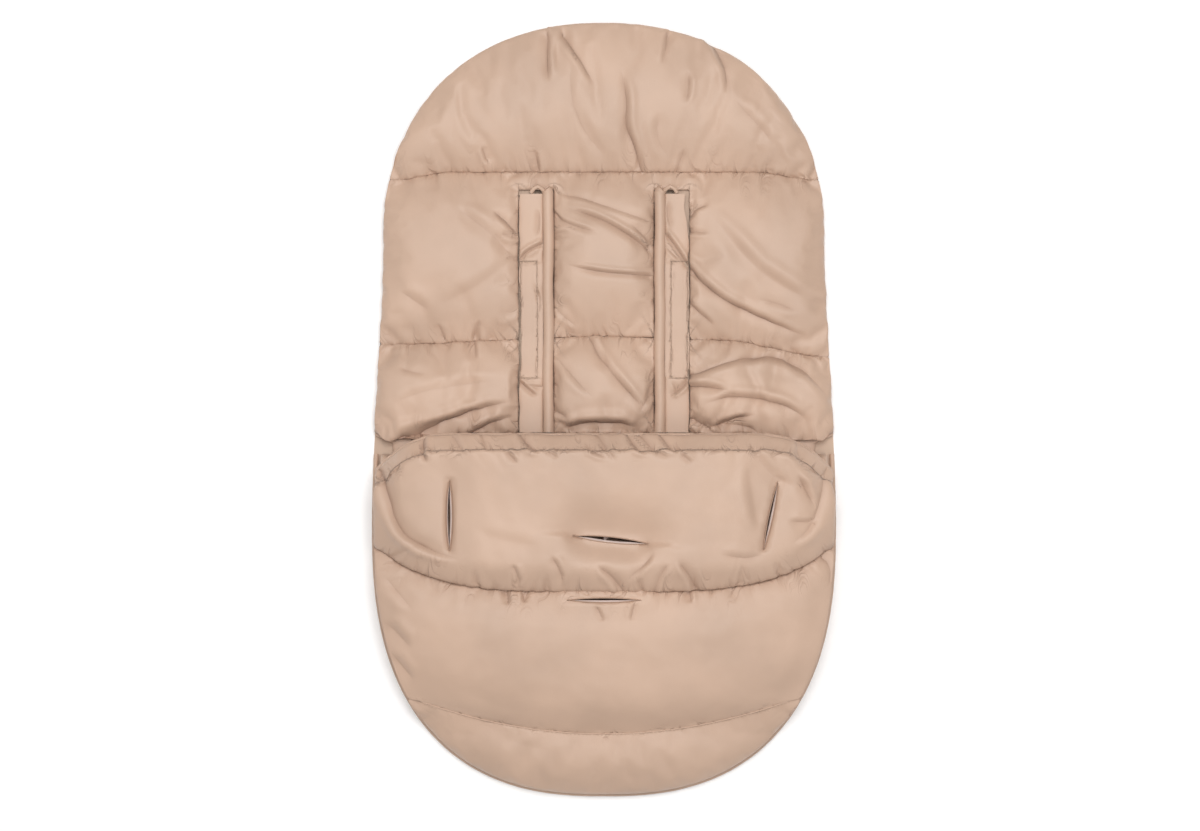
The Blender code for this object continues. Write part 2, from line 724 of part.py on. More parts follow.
def build_cover(beige, pale, legs, shins, flap):
    """The quilted cover, its hem, its lining and its belt slits."""
    toe_half = half_width(ZIP_END_Y, COVER_INSET)
    cover_half = lambda y: half_width(y, COVER_INSET)
    above_shin = lambda x: shin_seam_y(x) + SEAM_GAP / 2
    below_shin = lambda x: shin_seam_y(x) - SEAM_GAP / 2
    above_toe = lambda x: toe_seam_y(x) + SEAM_GAP / 2
    below_toe = lambda x: toe_seam_y(x) - SEAM_GAP / 2

    # A channel's lining has the channel's own grid, less the columns beside the zips.
    within = lambda spot: abs(spot.x) < half_width(spot.y, LINING_INSET)
    columns = 22
    edge_plan = band_plan(above_shin, hem_y, cover_half)
    flap_pad = add("cover_flap",
                   panel(columns, 12, edge_plan, cover_inner_z, flap_outer_z), beige, flap)
    flap_lining = add("lining_flap",
                      panel(columns, 12, edge_plan, lining_floor_z, lining_top_z, within), pale,
                      flap)
    plan = band_plan(above_toe, below_shin, cover_half)
    shin_pad = add("cover_shin",
                   panel(columns, 10, plan, cover_inner_z, shin_outer_z), beige, shins)
    shin_lining = add("lining_shin",
                      panel(columns, 10, plan, lining_floor_z, lining_top_z, within), pale, shins)
    rim = rounded_end(ZIP_END_Y - END_SIDE, TOE_END_Y + TOE_EDGE_INSET, TOE_EDGE_INSET)
    plan = end_plan(below_toe, toe_half, rim)
    add("cover_toe", panel(columns, 8, plan, cover_inner_z, toe_outer_z), beige, legs)
    add("lining_toe",
        panel(columns, 8, plan, lining_floor_z, lining_top_z,
              lambda spot: within(spot) and rim_distance(spot.x, spot.y) > LINING_INSET), pale, legs)

    # The hem's roll stands off the cover's edge, square to it.
    edge = [Vector(edge_plan(2 * step / columns - 1, 1.0)) for step in range(columns + 1)]
    points = []
    for step, spot in enumerate(edge):
        along = edge[min(step + 1, columns)] - edge[max(step - 1, 0)]
        away = Vector((-along.y, along.x)).normalized() * (HEM_BINDING_RADIUS + 2 * SEAT_GAP)
        points.append((spot.x + away.x, spot.y + away.y,
                       cover_inner_z(spot.x, spot.y) + COVER_SEAM_THICKNESS / 2))
    roll("cover_hem", points, HEM_BINDING_RADIUS, beige, flap, 2)

    quarter = math.pi / 2
    slits = [
        ("hip_left", (HIP_SLIT_SHIFT - HIP_SLIT_X, HEM_Y - HIP_SLIT_SETBACK),
         HIP_SLIT_LENGTH, 0.0, flap_pad, flap_lining, flap_outer_z, flap),
        ("hip_right", (HIP_SLIT_SHIFT + HIP_SLIT_X, HEM_Y - HIP_SLIT_SETBACK),
         HIP_SLIT_LENGTH, RIGHT_SLIT_LEAN, flap_pad, flap_lining, flap_outer_z, flap),
        ("crotch_upper", (CROTCH_SLIT_SHIFT, HEM_Y - CROTCH_SLIT_SETBACK),
         CROTCH_SLIT_LENGTH, quarter - CROTCH_SLIT_LEAN, flap_pad, flap_lining, flap_outer_z, flap),
        ("crotch_lower", (0.0, SHIN_SEAM_Y - LOWER_SLIT_SETBACK),
         LOWER_SLIT_LENGTH, quarter, shin_pad, shin_lining, shin_outer_z, shins),
    ]
    for name, middle, length, lean, pad, lining, top, carrier in slits:
        hole = hidden("hole_" + name, slit_hole(middle, length, lean, SLIT_WIDTH), beige, carrier)
        combine(pad, hole, "DIFFERENCE")
        combine(lining, hole, "DIFFERENCE")
        add("slit_trim_" + name, slit_trim(middle, length, lean, SLIT_WIDTH, top), pale, carrier)


def zip_half(side, start_y, end_y, root, bead_root, tip):
    """Half a zip: an upright tape with its row of teeth as one bead along the edge."""
    rings = []
    for step in range(13):
        y = between(start_y, end_y, step / 12)
        x = side * zip_x(y)
        tape, bead = ZIP_TAPE_THICKNESS / 2, BEAD_THICKNESS / 2
        outline = [(-tape, root(x, y)), (tape, root(x, y)), (tape, bead_root), (bead, bead_root),
                   (bead, tip), (-bead, tip), (-bead, bead_root), (-tape, bead_root)]
        rings.append([(x + across, y, z) for across, z in outline])
    return loft(rings)


def build_zips(tape, metal, beige, legs, shins, flap):
    """Both side zips, with the sliders at their upper ends."""
    upper_tip = ZIP_MIDDLE_Z + ZIP_ROW_GAP / 2
    lower_tip = ZIP_MIDDLE_Z - ZIP_ROW_GAP / 2
    split_y = shin_seam_y(zip_x(SHIN_SEAM_Y))
    slider_y = ZIP_TOP_Y - SLIDER_PARK - SLIDER_LENGTH / 2
    for side in (-1, 1):
        name = side_name(side)
        add("zip_pad_" + name,
            zip_half(side, ZIP_TOP_Y, ZIP_END_Y, level(PAD_FLOOR), lower_tip - BEAD_HEIGHT,
                     lower_tip), tape, legs)
        add("zip_flap_" + name,
            zip_half(side, ZIP_TOP_Y, split_y + SEAM_GAP / 2, lining_top_z,
                     upper_tip + BEAD_HEIGHT, upper_tip), tape, flap)
        add("zip_shin_" + name,
            zip_half(side, split_y - SEAM_GAP / 2, ZIP_END_Y, lining_top_z,
                     upper_tip + BEAD_HEIGHT, upper_tip), tape, shins)

        x = side * zip_x(slider_y)
        carrier = pivot("zip_slider_axis_" + name, (x, slider_y, ZIP_MIDDLE_Z), legs)
        plate_x = PLATE_X + SLIDER_PLATE / 2
        plate = (SLIDER_PLATE, SLIDER_LENGTH, SLIDER_HEIGHT)
        slider = add("zip_slider_" + name,
                     block(plate, (x + side * plate_x, slider_y, ZIP_MIDDLE_Z)), metal, carrier)
        web_y = slider_y + (SLIDER_LENGTH - SLIDER_WEB_LENGTH) / 2
        face_x = PLATE_X + SLIDER_PLATE
        bar_x = face_x + BAIL_ROOM + BAIL_ROD / 2
        overlap = SLIDER_PLATE / 2
        parts = [
            ("inner", plate, (x - side * plate_x, slider_y)),
            ("web", (2 * plate_x, SLIDER_WEB_LENGTH, SLIDER_WEB), (x, web_y)),
            ("bail", (BAIL_ROD, BAIL_LENGTH, BAIL_ROD), (x + side * bar_x, slider_y)),
        ]
        post_x = (face_x - overlap + bar_x) / 2
        for end in (-1, 1):
            parts.append(("post_up" if end > 0 else "post_down",
                          (bar_x - face_x + overlap, BAIL_ROD, BAIL_ROD),
                          (x + side * post_x, slider_y + end * (BAIL_LENGTH - BAIL_ROD) / 2)))
        for part, size, spot in parts:
            tool = hidden("slider_" + part + "_" + name, block(size, (*spot, ZIP_MIDDLE_Z)), metal,
                          carrier)
            combine(slider, tool, "UNION")

        # The pull's eye goes round the bail, so that it turns about its own cross bar.
        bar_y = slider_y + BAIL_LENGTH / 2 - BAIL_ROD - PULL_BAR
        pull_x = x + side * (face_x + BAIL_ROOM / 2)
        pull_axis = pivot("zip_pull_axis_" + name, (pull_x, bar_y, ZIP_MIDDLE_Z), carrier)
        pull_y = bar_y + PULL_BAR / 2 - PULL_LENGTH / 2
        pull = add("zip_pull_" + name,
                   block((PULL_BAR, PULL_LENGTH, PULL_WIDTH), (pull_x, pull_y, ZIP_MIDDLE_Z)), metal,
                   pull_axis)
        eye = hidden("pull_eye_" + name,
                     block((2 * PULL_BAR, PULL_EYE, PULL_WIDTH - 2 * PULL_BAR),
                           (pull_x, bar_y - PULL_BAR / 2 - PULL_EYE / 2, ZIP_MIDDLE_Z)), metal,
                     pull_axis)
        combine(pull, eye, "DIFFERENCE")

        # The folded tab above the zip: an upturned channel that is lower towards the head.
        rings = []
        for step in range(7):
            y = between(ZIP_TOP_Y + SEAT_GAP, GARAGE_TOP_Y, step / 6)
            late = clamped((step / 6 - 1 + GARAGE_ROUND_SHARE) / GARAGE_ROUND_SHARE)
            height = GARAGE_HEIGHT * between(1.0, GARAGE_LOW_SHARE, 1 - math.sqrt(1 - late ** 2))
            rings.append(garage_ring(side * zip_x(y), y, height))
        add("zip_tab_" + name, loft(rings), beige, legs)


def garage_ring(middle_x, y, height):
    """Cross-section of the folded tab: two legs and a rounded top."""
    outer = GARAGE_WIDTH / 2
    inner = outer - GARAGE_THICKNESS
    top = height - outer
    ring = []
    for radius, order in ((outer, 1), (inner, -1)):
        arc = [(-radius, PAD_FLOOR)]
        for step in range(7):
            turn = math.pi * step / 6
            arc.append((-radius * math.cos(turn), top + radius * math.sin(turn)))
        arc.append((radius, PAD_FLOOR))
        ring.extend(arc[::order])
    return [(middle_x + x, y, z) for x, z in ring]


def main():
    for old in list(bpy.data.objects):
        bpy.data.objects.remove(old)
    beige = finish_of("beige_cloth", BEIGE, 0.55)
    shade = finish_of("rear_cloth", BEIGE_SHADE, 0.7)
    pale = finish_of("pale_lining", LINING_COLOUR, 0.85)
    tape = finish_of("zip_and_hook_tape", TAPE_COLOUR, 0.8)
    metal = finish_of("zip_metal", METAL_COLOUR, 0.35, 1.0)

    legs = pivot("legs_fold_axis", (0.0, SEAT_SEAM_Y, SEAT_FOLD_Z))
    toe_fold_z = cover_inner_z(0.0, TOE_SEAM_Y) + COVER_SEAM_THICKNESS
    shins = pivot("cover_open_axis", (0.0, TOE_SEAM_Y, toe_fold_z), legs)
    shin_fold_z = cover_inner_z(0.0, SHIN_SEAM_Y) + COVER_SEAM_THICKNESS
    flap = pivot("flap_fold_axis", (0.0, SHIN_SEAM_Y, shin_fold_z), shins)

    build_back(beige, shade, tape)
    build_head(beige, shade)
    build_legs(beige, shade, legs)
    build_cover(beige, pale, legs, shins, flap)
    build_zips(tape, metal, beige, legs, shins, flap)


main()
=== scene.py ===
"""Looks of the quilted stroller footmuff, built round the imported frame.

Lengths are in metres, X runs across the muff, Y towards the head and Z away from what it lies on.
Fold lines read off the photograph are in millimetres from the muff's middle.
"""
import math
import bpy
import bmesh
import numpy as np
from mathutils import Matrix, Vector, noise
from mathutils.kdtree import KDTree


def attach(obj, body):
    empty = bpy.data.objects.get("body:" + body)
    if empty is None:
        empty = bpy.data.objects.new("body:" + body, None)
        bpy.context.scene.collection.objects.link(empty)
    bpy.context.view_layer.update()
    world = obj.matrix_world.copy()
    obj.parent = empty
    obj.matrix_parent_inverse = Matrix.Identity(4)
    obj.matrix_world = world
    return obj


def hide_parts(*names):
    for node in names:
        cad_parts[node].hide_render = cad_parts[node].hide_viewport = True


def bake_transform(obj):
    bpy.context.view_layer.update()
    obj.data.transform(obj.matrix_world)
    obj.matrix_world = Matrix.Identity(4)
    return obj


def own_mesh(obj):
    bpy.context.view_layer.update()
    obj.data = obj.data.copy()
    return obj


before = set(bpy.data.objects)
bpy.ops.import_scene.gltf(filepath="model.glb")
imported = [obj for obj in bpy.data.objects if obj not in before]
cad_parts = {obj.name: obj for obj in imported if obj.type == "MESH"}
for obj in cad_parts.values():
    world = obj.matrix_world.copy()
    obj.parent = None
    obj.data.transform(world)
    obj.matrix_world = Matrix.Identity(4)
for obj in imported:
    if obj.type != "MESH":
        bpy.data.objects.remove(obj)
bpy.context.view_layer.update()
scene = bpy.context.scene


# Head channel of the back pad. The whole muff is sewn from one satin beige nylon, two layers with
# loose wadding between them that is held down along the seams. This channel lies between the
# rounded top end and the first seam, where it folds up.

# The outline and seams repeat the solids' own sizes, so that each piece lies where its node is.
MM = 0.001
LENGTH = 0.772
HEAD_END, TOE_END = LENGTH / 2, -LENGTH / 2
HEAD_HALF, HIP_HALF = 0.2205, 0.2325
HEAD_DOME, TOE_DOME = LENGTH * 0.2785, LENGTH * 0.351
HEAD_ROUND, TOE_ROUND = 2.2, 2.5
HEAD_Y, HIP_Y = HEAD_END - HEAD_DOME, TOE_END + TOE_DOME
HEAD_SEAM, BACK_SEAM, SEAT_SEAM, SHIN_SEAM, TOE_SEAM = (
    HEAD_END - LENGTH * share for share in (0.1904, 0.408, 0.5285, 0.7286, 0.9152))
FLOOR, SEAM_TOP, GAP = 0.0018, 0.0078, 0.0004
SLOT_IN, SLOT_OUT, SLOT_TOP = 0.0504, 0.0858, HEAD_SEAM - 0.018


def between(low, high, share):
    return low + (high - low) * share


def eased(share):
    share = np.clip(share, 0, 1)
    return share * share * (3 - 2 * share)


def crowded(share, strength=0.5):
    """Moves shares from -1 to 1 towards the nearer end, where wadding curves most."""
    return between(share, np.sin(share * math.pi / 2), strength)


def crowded_rows(share):
    """The same for shares from 0 to 1."""
    return (crowded(2 * share - 1) + 1) / 2


def half_width(y, inset=0.0):
    y = np.asarray(y, float)
    head = np.clip((y - HEAD_Y) / (HEAD_DOME - inset), 0, 1)
    toe = np.clip((HIP_Y - y) / (TOE_DOME - inset), 0, 1)
    side = between(HIP_HALF, HEAD_HALF, eased((y - HIP_Y) / (HEAD_Y - HIP_Y))) - inset
    dome = (HEAD_HALF - inset) * (1 - head ** HEAD_ROUND) ** (1 / HEAD_ROUND)
    side = np.where(y > HEAD_Y, dome, side)
    foot = (HIP_HALF - inset) * (1 - toe ** TOE_ROUND) ** (1 / TOE_ROUND)
    return np.where(y < HIP_Y, foot, side)


def rim_share(x, y):
    """0 on the muff's spine and 1 on its outline."""
    head = ((np.abs(x) / HEAD_HALF) ** HEAD_ROUND
            + (np.maximum(y - HEAD_Y, 0) / HEAD_DOME) ** HEAD_ROUND) ** (1 / HEAD_ROUND)
    toe = ((np.abs(x) / HIP_HALF) ** TOE_ROUND
           + (np.maximum(HIP_Y - y, 0) / TOE_DOME) ** TOE_ROUND) ** (1 / TOE_ROUND)
    side = np.abs(x) / half_width(np.clip(y, HIP_Y, HEAD_Y))
    return np.where(y > HEAD_Y, head, np.where(y < HIP_Y, toe, side))


def rim_distance(x, y):
    return (1 - rim_share(x, y)) * HIP_HALF


def head_seam(x):
    """The first seam, drawn down at the sides; the fold's axis lies along its middle."""
    return HEAD_SEAM - 0.0075 * eased((np.abs(x) - 0.150) / 0.060)


def swelling(distance, reach):
    """How far wadding has risen at a distance from its seam."""
    return np.sin(np.clip(distance / reach, 0, 1) * math.pi / 2)


def domed(distance, reach):
    """The same at a rounded edge, which rises as a quarter circle."""
    return np.sqrt(1 - (1 - np.clip(distance / reach, 0, 1)) ** 2)


def bell(distance, reach):
    """1 at no distance, and dying away on both sides."""
    return np.exp(-(distance / reach) ** 2)


def level(value):
    return lambda x, y: np.full(np.shape(x), value)


# A plan turns an even grid, -1 to 1 across and 0 to 1 along, into the shape of a sewn panel.


def rounded_end(start, tip, inset=0.0):
    """The outline beyond start, by a share from -1 to 1 of its length."""
    y = between(start, tip, np.sin(np.linspace(0, 1, 240) * math.pi / 2))
    x = half_width(y, inset)
    reach = np.concatenate([[0.0], np.cumsum(np.hypot(np.diff(x), np.diff(y)))])

    def point(across):
        spot = (1 - np.abs(across)) * reach[-1]
        return np.sign(across) * np.interp(spot, reach, x), np.interp(spot, reach, y)

    return point


def end_plan(seam, seam_half, rim):
    """Between a cross seam and the rounded end beyond it."""

    def plan(across, along):
        seam_x = crowded(across, 0.3) * seam_half
        rim_x, rim_y = rim(across)
        share = crowded_rows(along)
        return between(seam_x, rim_x, share), between(seam(seam_x), rim_y, share)

    return plan


# The nylon is woven: its colour and gloss drift a little over the cloth, it has a faint satin
# sheen, and its threads and the gathers at the seams stand in the bump. Painted shade darkens
# its colour in the seam grooves, in the gathers' valleys and along the floors of sharp folds.


def node(tree, kind, place, dials=None, **values):
    """A shader node with its settings, and with the values of its inputs as dials."""
    made = tree.nodes.new(kind)
    made.location = place
    for key, value in values.items():
        setattr(made, key, value)
    for key, value in (dials or {}).items():
        made.inputs[key].default_value = value
    return made


def calc(tree, operation, *values):
    """A maths node fed by sockets or plain numbers."""
    made = node(tree, "ShaderNodeMath", (0, 0), operation=operation)
    for socket, value in zip(made.inputs, values):
        if isinstance(value, bpy.types.NodeSocket):
            tree.links.new(value, socket)
        else:
            socket.default_value = value
    return made.outputs[0]


def weave_group():
    """A plain weave's height, from object coordinates. Threads says how close together they lie."""
    tree = bpy.data.node_groups.new("plain_weave", "ShaderNodeTree")
    for name, in_out in (("Threads", "INPUT"), ("Crinkle", "INPUT"), ("Height", "OUTPUT")):
        tree.interface.new_socket(name=name, in_out=in_out, socket_type="NodeSocketFloat")
    inward = node(tree, "NodeGroupInput", (-900, 0))
    outward = node(tree, "NodeGroupOutput", (400, 0))
    place = node(tree, "ShaderNodeTexCoord", (-900, -250))
    waves = []
    for index, direction in enumerate(("X", "Y")):
        wave = node(tree, "ShaderNodeTexWave", (-600, -260 * index),
                    {"Distortion": 0.6, "Detail": 1.0}, wave_type="BANDS",
                    bands_direction=direction, wave_profile="SIN")
        tree.links.new(place.outputs["Object"], wave.inputs["Vector"])
        tree.links.new(inward.outputs["Threads"], wave.inputs["Scale"])
        waves.append(wave.outputs["Fac"])
    crinkle = node(tree, "ShaderNodeTexNoise", (-600, 280),
                   {"Scale": 120.0, "Detail": 4.0, "Roughness": 0.6})
    tree.links.new(place.outputs["Object"], crinkle.inputs["Vector"])
    soft = calc(tree, "MULTIPLY", crinkle.outputs["Fac"], inward.outputs["Crinkle"])
    total = calc(tree, "ADD", calc(tree, "MULTIPLY", *waves), soft)
    tree.links.new(total, outward.inputs["Height"])
    return tree


SEAM_FAR = 0.03


def gathers_and_shade_group():
    """Fine gathers along the seams and the sharp floors of folds, from the quilts' attributes, and
    the painted shade that darkens the seam grooves, the gathers' valleys and the fold floors.
    """
    tree = bpy.data.node_groups.new("gathers", "ShaderNodeTree")
    for name in ("Height", "Shade"):
        tree.interface.new_socket(name=name, in_out="OUTPUT", socket_type="NodeSocketFloat")
    outward = node(tree, "NodeGroupOutput", (800, 0))
    marks = ("seam_close", "seam_run", "seam_painted_shade", "fold_gap", "fold_depth")
    close, run, groove_shade, fold_gap, fold_depth = [
        node(tree, "ShaderNodeAttribute", (-1200, -200 * index), attribute_name=name).outputs["Fac"]
        for index, name in enumerate(marks)]

    def product(*values):
        return calc(tree, "MULTIPLY", *values)

    def fading(gap, reach):
        """1 on a line, and less away from it."""
        return calc(tree, "EXPONENT", product(gap, -1 / reach))

    def cloud(across, along):
        """Noise over two lengths."""
        spot = node(tree, "ShaderNodeCombineXYZ", (-800, 0))
        tree.links.new(across, spot.inputs["X"])
        tree.links.new(along, spot.inputs["Y"])
        made = node(tree, "ShaderNodeTexNoise", (-600, 0), {"Scale": 1.0, "Detail": 1.0},
                    noise_dimensions="2D")
        tree.links.new(spot.outputs["Vector"], made.inputs["Vector"])
        return made.outputs["Fac"]

    gap = product(calc(tree, "SUBTRACT", 1.0, close), SEAM_FAR)
    slow = cloud(product(run, 60.0), product(gap, 20.0))
    lean = product(calc(tree, "SUBTRACT", slow, 0.5), product(gap, 900.0))
    wave = cloud(calc(tree, "ADD", product(run, 190.0), lean), product(gap, 45.0))
    valley = product(calc(tree, "SUBTRACT", 0.47, wave), 9.0)
    valley.node.use_clamp = True
    reach = calc(tree, "MAXIMUM", 0.0022, product(calc(tree, "SUBTRACT", slow, 0.36), 0.026))
    fade = calc(tree, "EXPONENT", product(calc(tree, "DIVIDE", gap, reach), -1.0))
    present = calc(tree, "GREATER_THAN", close, 0.001)
    valley = product(valley, product(fade, present))
    # Painted shade: the seam's groove, the gathers' valleys and the floors of sharp folds darken the
    # colour through Shade, standing in for the shade that falls there.
    edge = product(fading(gap, 0.0014), groove_shade)
    crease = product(fading(calc(tree, "ABSOLUTE", fold_gap), 0.0015), fold_depth)
    height = calc(tree, "ADD", product(valley, -0.0011), product(crease, -0.45))
    shade = calc(tree, "ADD", product(valley, 0.42), product(edge, 0.72))
    shade = calc(tree, "ADD", shade, product(crease, 160.0))
    shade.node.use_clamp = True
    tree.links.new(height, outward.inputs["Height"])
    tree.links.new(shade, outward.inputs["Shade"])
    return tree


WEAVE = weave_group()
GATHERS_AND_SHADE = gathers_and_shade_group()


def woven(name, colour, roughness=0.5, sheen=0.0, threads=520.0, crinkle=3.0, depth=0.00006,
          drift=0.05, metallic=0.0, gathered_and_shaded=False):
    """A woven cloth: its colour and gloss drift gently, and its threads stand in the bump. The shell
    also takes the seams' gathers in its bump and painted shade in its colour.
    """
    made = bpy.data.materials.new(name)
    made.use_nodes = True
    tree = made.node_tree
    shader = tree.nodes["Principled BSDF"]
    shader.inputs["Metallic"].default_value = metallic
    shader.inputs["Sheen Weight"].default_value = sheen
    shader.inputs["Sheen Roughness"].default_value = 0.45
    shader.inputs["Sheen Tint"].default_value = (1.0, 0.93, 0.86, 1.0)
    place = node(tree, "ShaderNodeTexCoord", (-1100, 200))
    cloud = node(tree, "ShaderNodeTexNoise", (-850, 200), {"Scale": 14.0, "Detail": 3.0})
    tree.links.new(place.outputs["Object"], cloud.inputs["Vector"])
    ramp = node(tree, "ShaderNodeValToRGB", (-600, 250))
    for stop, place_on, change in zip(ramp.color_ramp.elements, (0.35, 0.65), (-drift, drift)):
        stop.position = place_on
        stop.color = (*[min(1.0, part * (1 + change)) for part in colour], 1.0)
    tree.links.new(cloud.outputs["Fac"], ramp.inputs["Fac"])
    tree.links.new(ramp.outputs["Color"], shader.inputs["Base Color"])
    # Painted shade: the shell's colour is mixed towards a darker brown in the seam grooves, the
    # gathers' valleys and the fold floors.
    if gathered_and_shaded:
        gathers = node(tree, "ShaderNodeGroup", (-850, -150), node_tree=GATHERS_AND_SHADE)
        shade_colour = (colour[0] * 0.50, colour[1] * 0.38, colour[2] * 0.34, 1.0)
        painted_shade = node(tree, "ShaderNodeMix", (-300, 250), data_type="RGBA")
        painted_shade.inputs["B"].default_value = shade_colour
        tree.links.new(gathers.outputs["Shade"], painted_shade.inputs["Factor"])
        tree.links.new(ramp.outputs["Color"], painted_shade.inputs["A"])
        tree.links.new(painted_shade.outputs["Result"], shader.inputs["Base Color"])
    gloss = node(tree, "ShaderNodeMapRange", (-600, -50),
                 {"To Min": roughness - 0.05, "To Max": roughness + 0.05})
    tree.links.new(cloud.outputs["Fac"], gloss.inputs["Value"])
    tree.links.new(gloss.outputs["Result"], shader.inputs["Roughness"])
    weave = node(tree, "ShaderNodeGroup", (-600, -350),
                 {"Threads": threads, "Crinkle": crinkle}, node_tree=WEAVE)
    height = calc(tree, "MULTIPLY", weave.outputs["Height"], 0.6 * depth)
    if gathered_and_shaded:
        height = calc(tree, "ADD", height, gathers.outputs["Height"])
    bump = node(tree, "ShaderNodeBump", (-300, -350), {"Strength": 1.0, "Distance": 1.0})
    tree.links.new(height, bump.inputs["Height"])
    tree.links.new(bump.outputs["Normal"], shader.inputs["Normal"])
    return made


shell = woven("beige_nylon", (0.545, 0.374, 0.275), roughness=0.48, sheen=0.12, gathered_and_shaded=True)

# A channel is one sheet, sewn down along its edges and blown up as cloth by its wadding. It is then
# creased along folds read off the photograph, and closed down to the cloth below.


def grid(columns, rows, plan, keep=None):
    """A flat sheet of faces laid out to its plan."""
    bm = bmesh.new()
    bmesh.ops.create_grid(bm, x_segments=columns, y_segments=rows, size=1.0)
    spots = np.array([vertex.co for vertex in bm.verts])
    for vertex, x, y in zip(bm.verts, *plan(spots[:, 0], (spots[:, 1] + 1) / 2)):
        vertex.co = (x, y, 0.0)
    if keep is not None:
        spare = [face for face in bm.faces if not keep(face.calc_center_median())]
        bmesh.ops.delete(bm, geom=spare, context="FACES")
    bm.normal_update()
    if next(iter(bm.faces)).normal.z < 0:
        bmesh.ops.reverse_faces(bm, faces=bm.faces)
    return bm


def spots_of(mesh):
    places = np.empty(len(mesh.vertices) * 3)
    mesh.vertices.foreach_get("co", places)
    return places.reshape(-1, 3)


def put(mesh, places):
    mesh.vertices.foreach_set("co", np.ascontiguousarray(places, float).ravel())
    mesh.update()


def as_seen(obj):
    """A new mesh of the object with its modifiers or its bevel applied."""
    bpy.context.view_layer.update()
    graph = bpy.context.evaluated_depsgraph_get()
    return bpy.data.meshes.new_from_object(obj.evaluated_get(graph))


def baked(obj):
    """Applies the object's modifiers, which leaves none on it."""
    mesh = as_seen(obj)
    obj.modifiers.clear()
    obj.data = mesh


WADDING_FRAMES, WADDING_PRESSURE = 20, 4.0
QUILT_SHARP = math.radians(65)


def inflate(obj, sewn, spare, bending):
    """Cloth held along its sewn points and pushed out by wadding; spare is its extra length."""
    group = obj.vertex_groups.new(name="sewn")
    group.add(sewn, 1.0, "REPLACE")
    modifier = obj.modifiers.new("wadding", "CLOTH")
    settings = modifier.settings
    settings.quality = 6
    settings.mass = 0.15
    settings.tension_stiffness = settings.compression_stiffness = 25
    settings.shear_stiffness = 8
    settings.bending_stiffness = bending
    settings.tension_damping = settings.compression_damping = settings.shear_damping = 8
    settings.air_damping = 2
    settings.vertex_group_mass = "sewn"
    settings.pin_stiffness = 1
    settings.shrink_min = -spare
    settings.use_pressure = True
    settings.uniform_pressure_force = WADDING_PRESSURE
    settings.effector_weights.gravity = 0
    modifier.collision_settings.use_collision = False
    modifier.collision_settings.use_self_collision = False
    modifier.point_cache.frame_start = 1
    modifier.point_cache.frame_end = WADDING_FRAMES
    for number in range(1, WADDING_FRAMES + 1):
        scene.frame_set(number)
    baked(obj)


def nearest(spots, line):
    """Signed distance from each spot to a line of points, and how far along the line it is."""
    gap = np.full(len(spots), 9.0)
    side = np.ones(len(spots))
    run = np.zeros(len(spots))
    done = 0.0
    for start, end in zip(line, line[1:]):
        step = np.subtract(end, start)
        length = math.hypot(*step)
        share = np.clip((spots - start) @ step / length ** 2, 0, 1)
        away = spots - start - share[:, None] * step
        reach = np.hypot(away[:, 0], away[:, 1])
        closer = reach < gap
        gap = np.where(closer, reach, gap)
        side = np.where(closer, np.sign(step[0] * away[:, 1] - step[1] * away[:, 0]), side)
        run = np.where(closer, done + share * length, run)
        done += length
    return gap * side, run, done


def flowing(points, rounds=3):
    """Rounds a line's corners by cutting them, and keeps its ends."""
    line = [np.array(point, float) for point in points]
    for _ in range(rounds if len(line) > 2 else 0):
        cut = [line[0]]
        for start, end in zip(line, line[1:]):
            cut += [between(start, end, 0.25), between(start, end, 0.75)]
        line = cut + [line[-1]]
    return line


def noise_at(*axes):
    return np.array([noise.noise(Vector(spot)) for spot in np.broadcast(*axes)])


FOLD_NEAR = 0.0045


def creases(spots, folds):
    """Heights of the drawn folds, with the signed gap to the nearest floor and its depth there,
    which the shell's material turns into a sharp groove and painted shade.

    A fold is its points, its width, its depth, the side of its ridge (0 for none), and whether it
    is still open, or deep, at its start and at its end. Each valley is steep on its ridge's side.
    """
    height = np.zeros(len(spots))
    floor_gap, floor_depth = np.full(len(spots), 9.0), np.zeros(len(spots))
    for points, width, depth, ridge, *ends in folds:
        width, depth = width * MM, depth * MM
        open_start, open_end = ends if ends else (0, 0)
        gap, run, whole = nearest(spots, [point * MM for point in flowing(points)])
        share = run / whole
        fade = np.ones(len(spots)) if open_start else eased(share / 0.35)
        fade = fade * (1 if open_end else eased((1 - share) / 0.35))
        fade = fade * (1 + 0.35 * noise_at(run * 45, depth * 900, width * 700))
        wide = width * (0.6 + 0.4 * np.clip(fade, 0, 1))
        toward = gap * (np.sign(ridge) if ridge else 1)
        steep = 0.62 if ridge else 1.1
        fold = -bell(toward, wide * np.where(toward > 0, steep, 1.5))
        fold += 0.75 * abs(ridge) * bell(toward - 1.5 * wide, 0.85 * wide)
        height += depth * fade * fold
        closer = np.abs(gap) < np.abs(floor_gap)
        floor_gap = np.where(closer, gap, floor_gap)
        # The floor's depth is painted shade in the colour, and only narrow folds get it.
        sharp = depth * np.clip(fade, 0, 1.2) * np.clip((0.0078 - width) / 0.003, 0, 1)
        sharp = sharp * eased((FOLD_NEAR - np.abs(gap)) / 0.0025)
        floor_depth = np.where(closer, sharp, floor_depth)
    return height, np.clip(floor_gap, -FOLD_NEAR, FOLD_NEAR), floor_depth


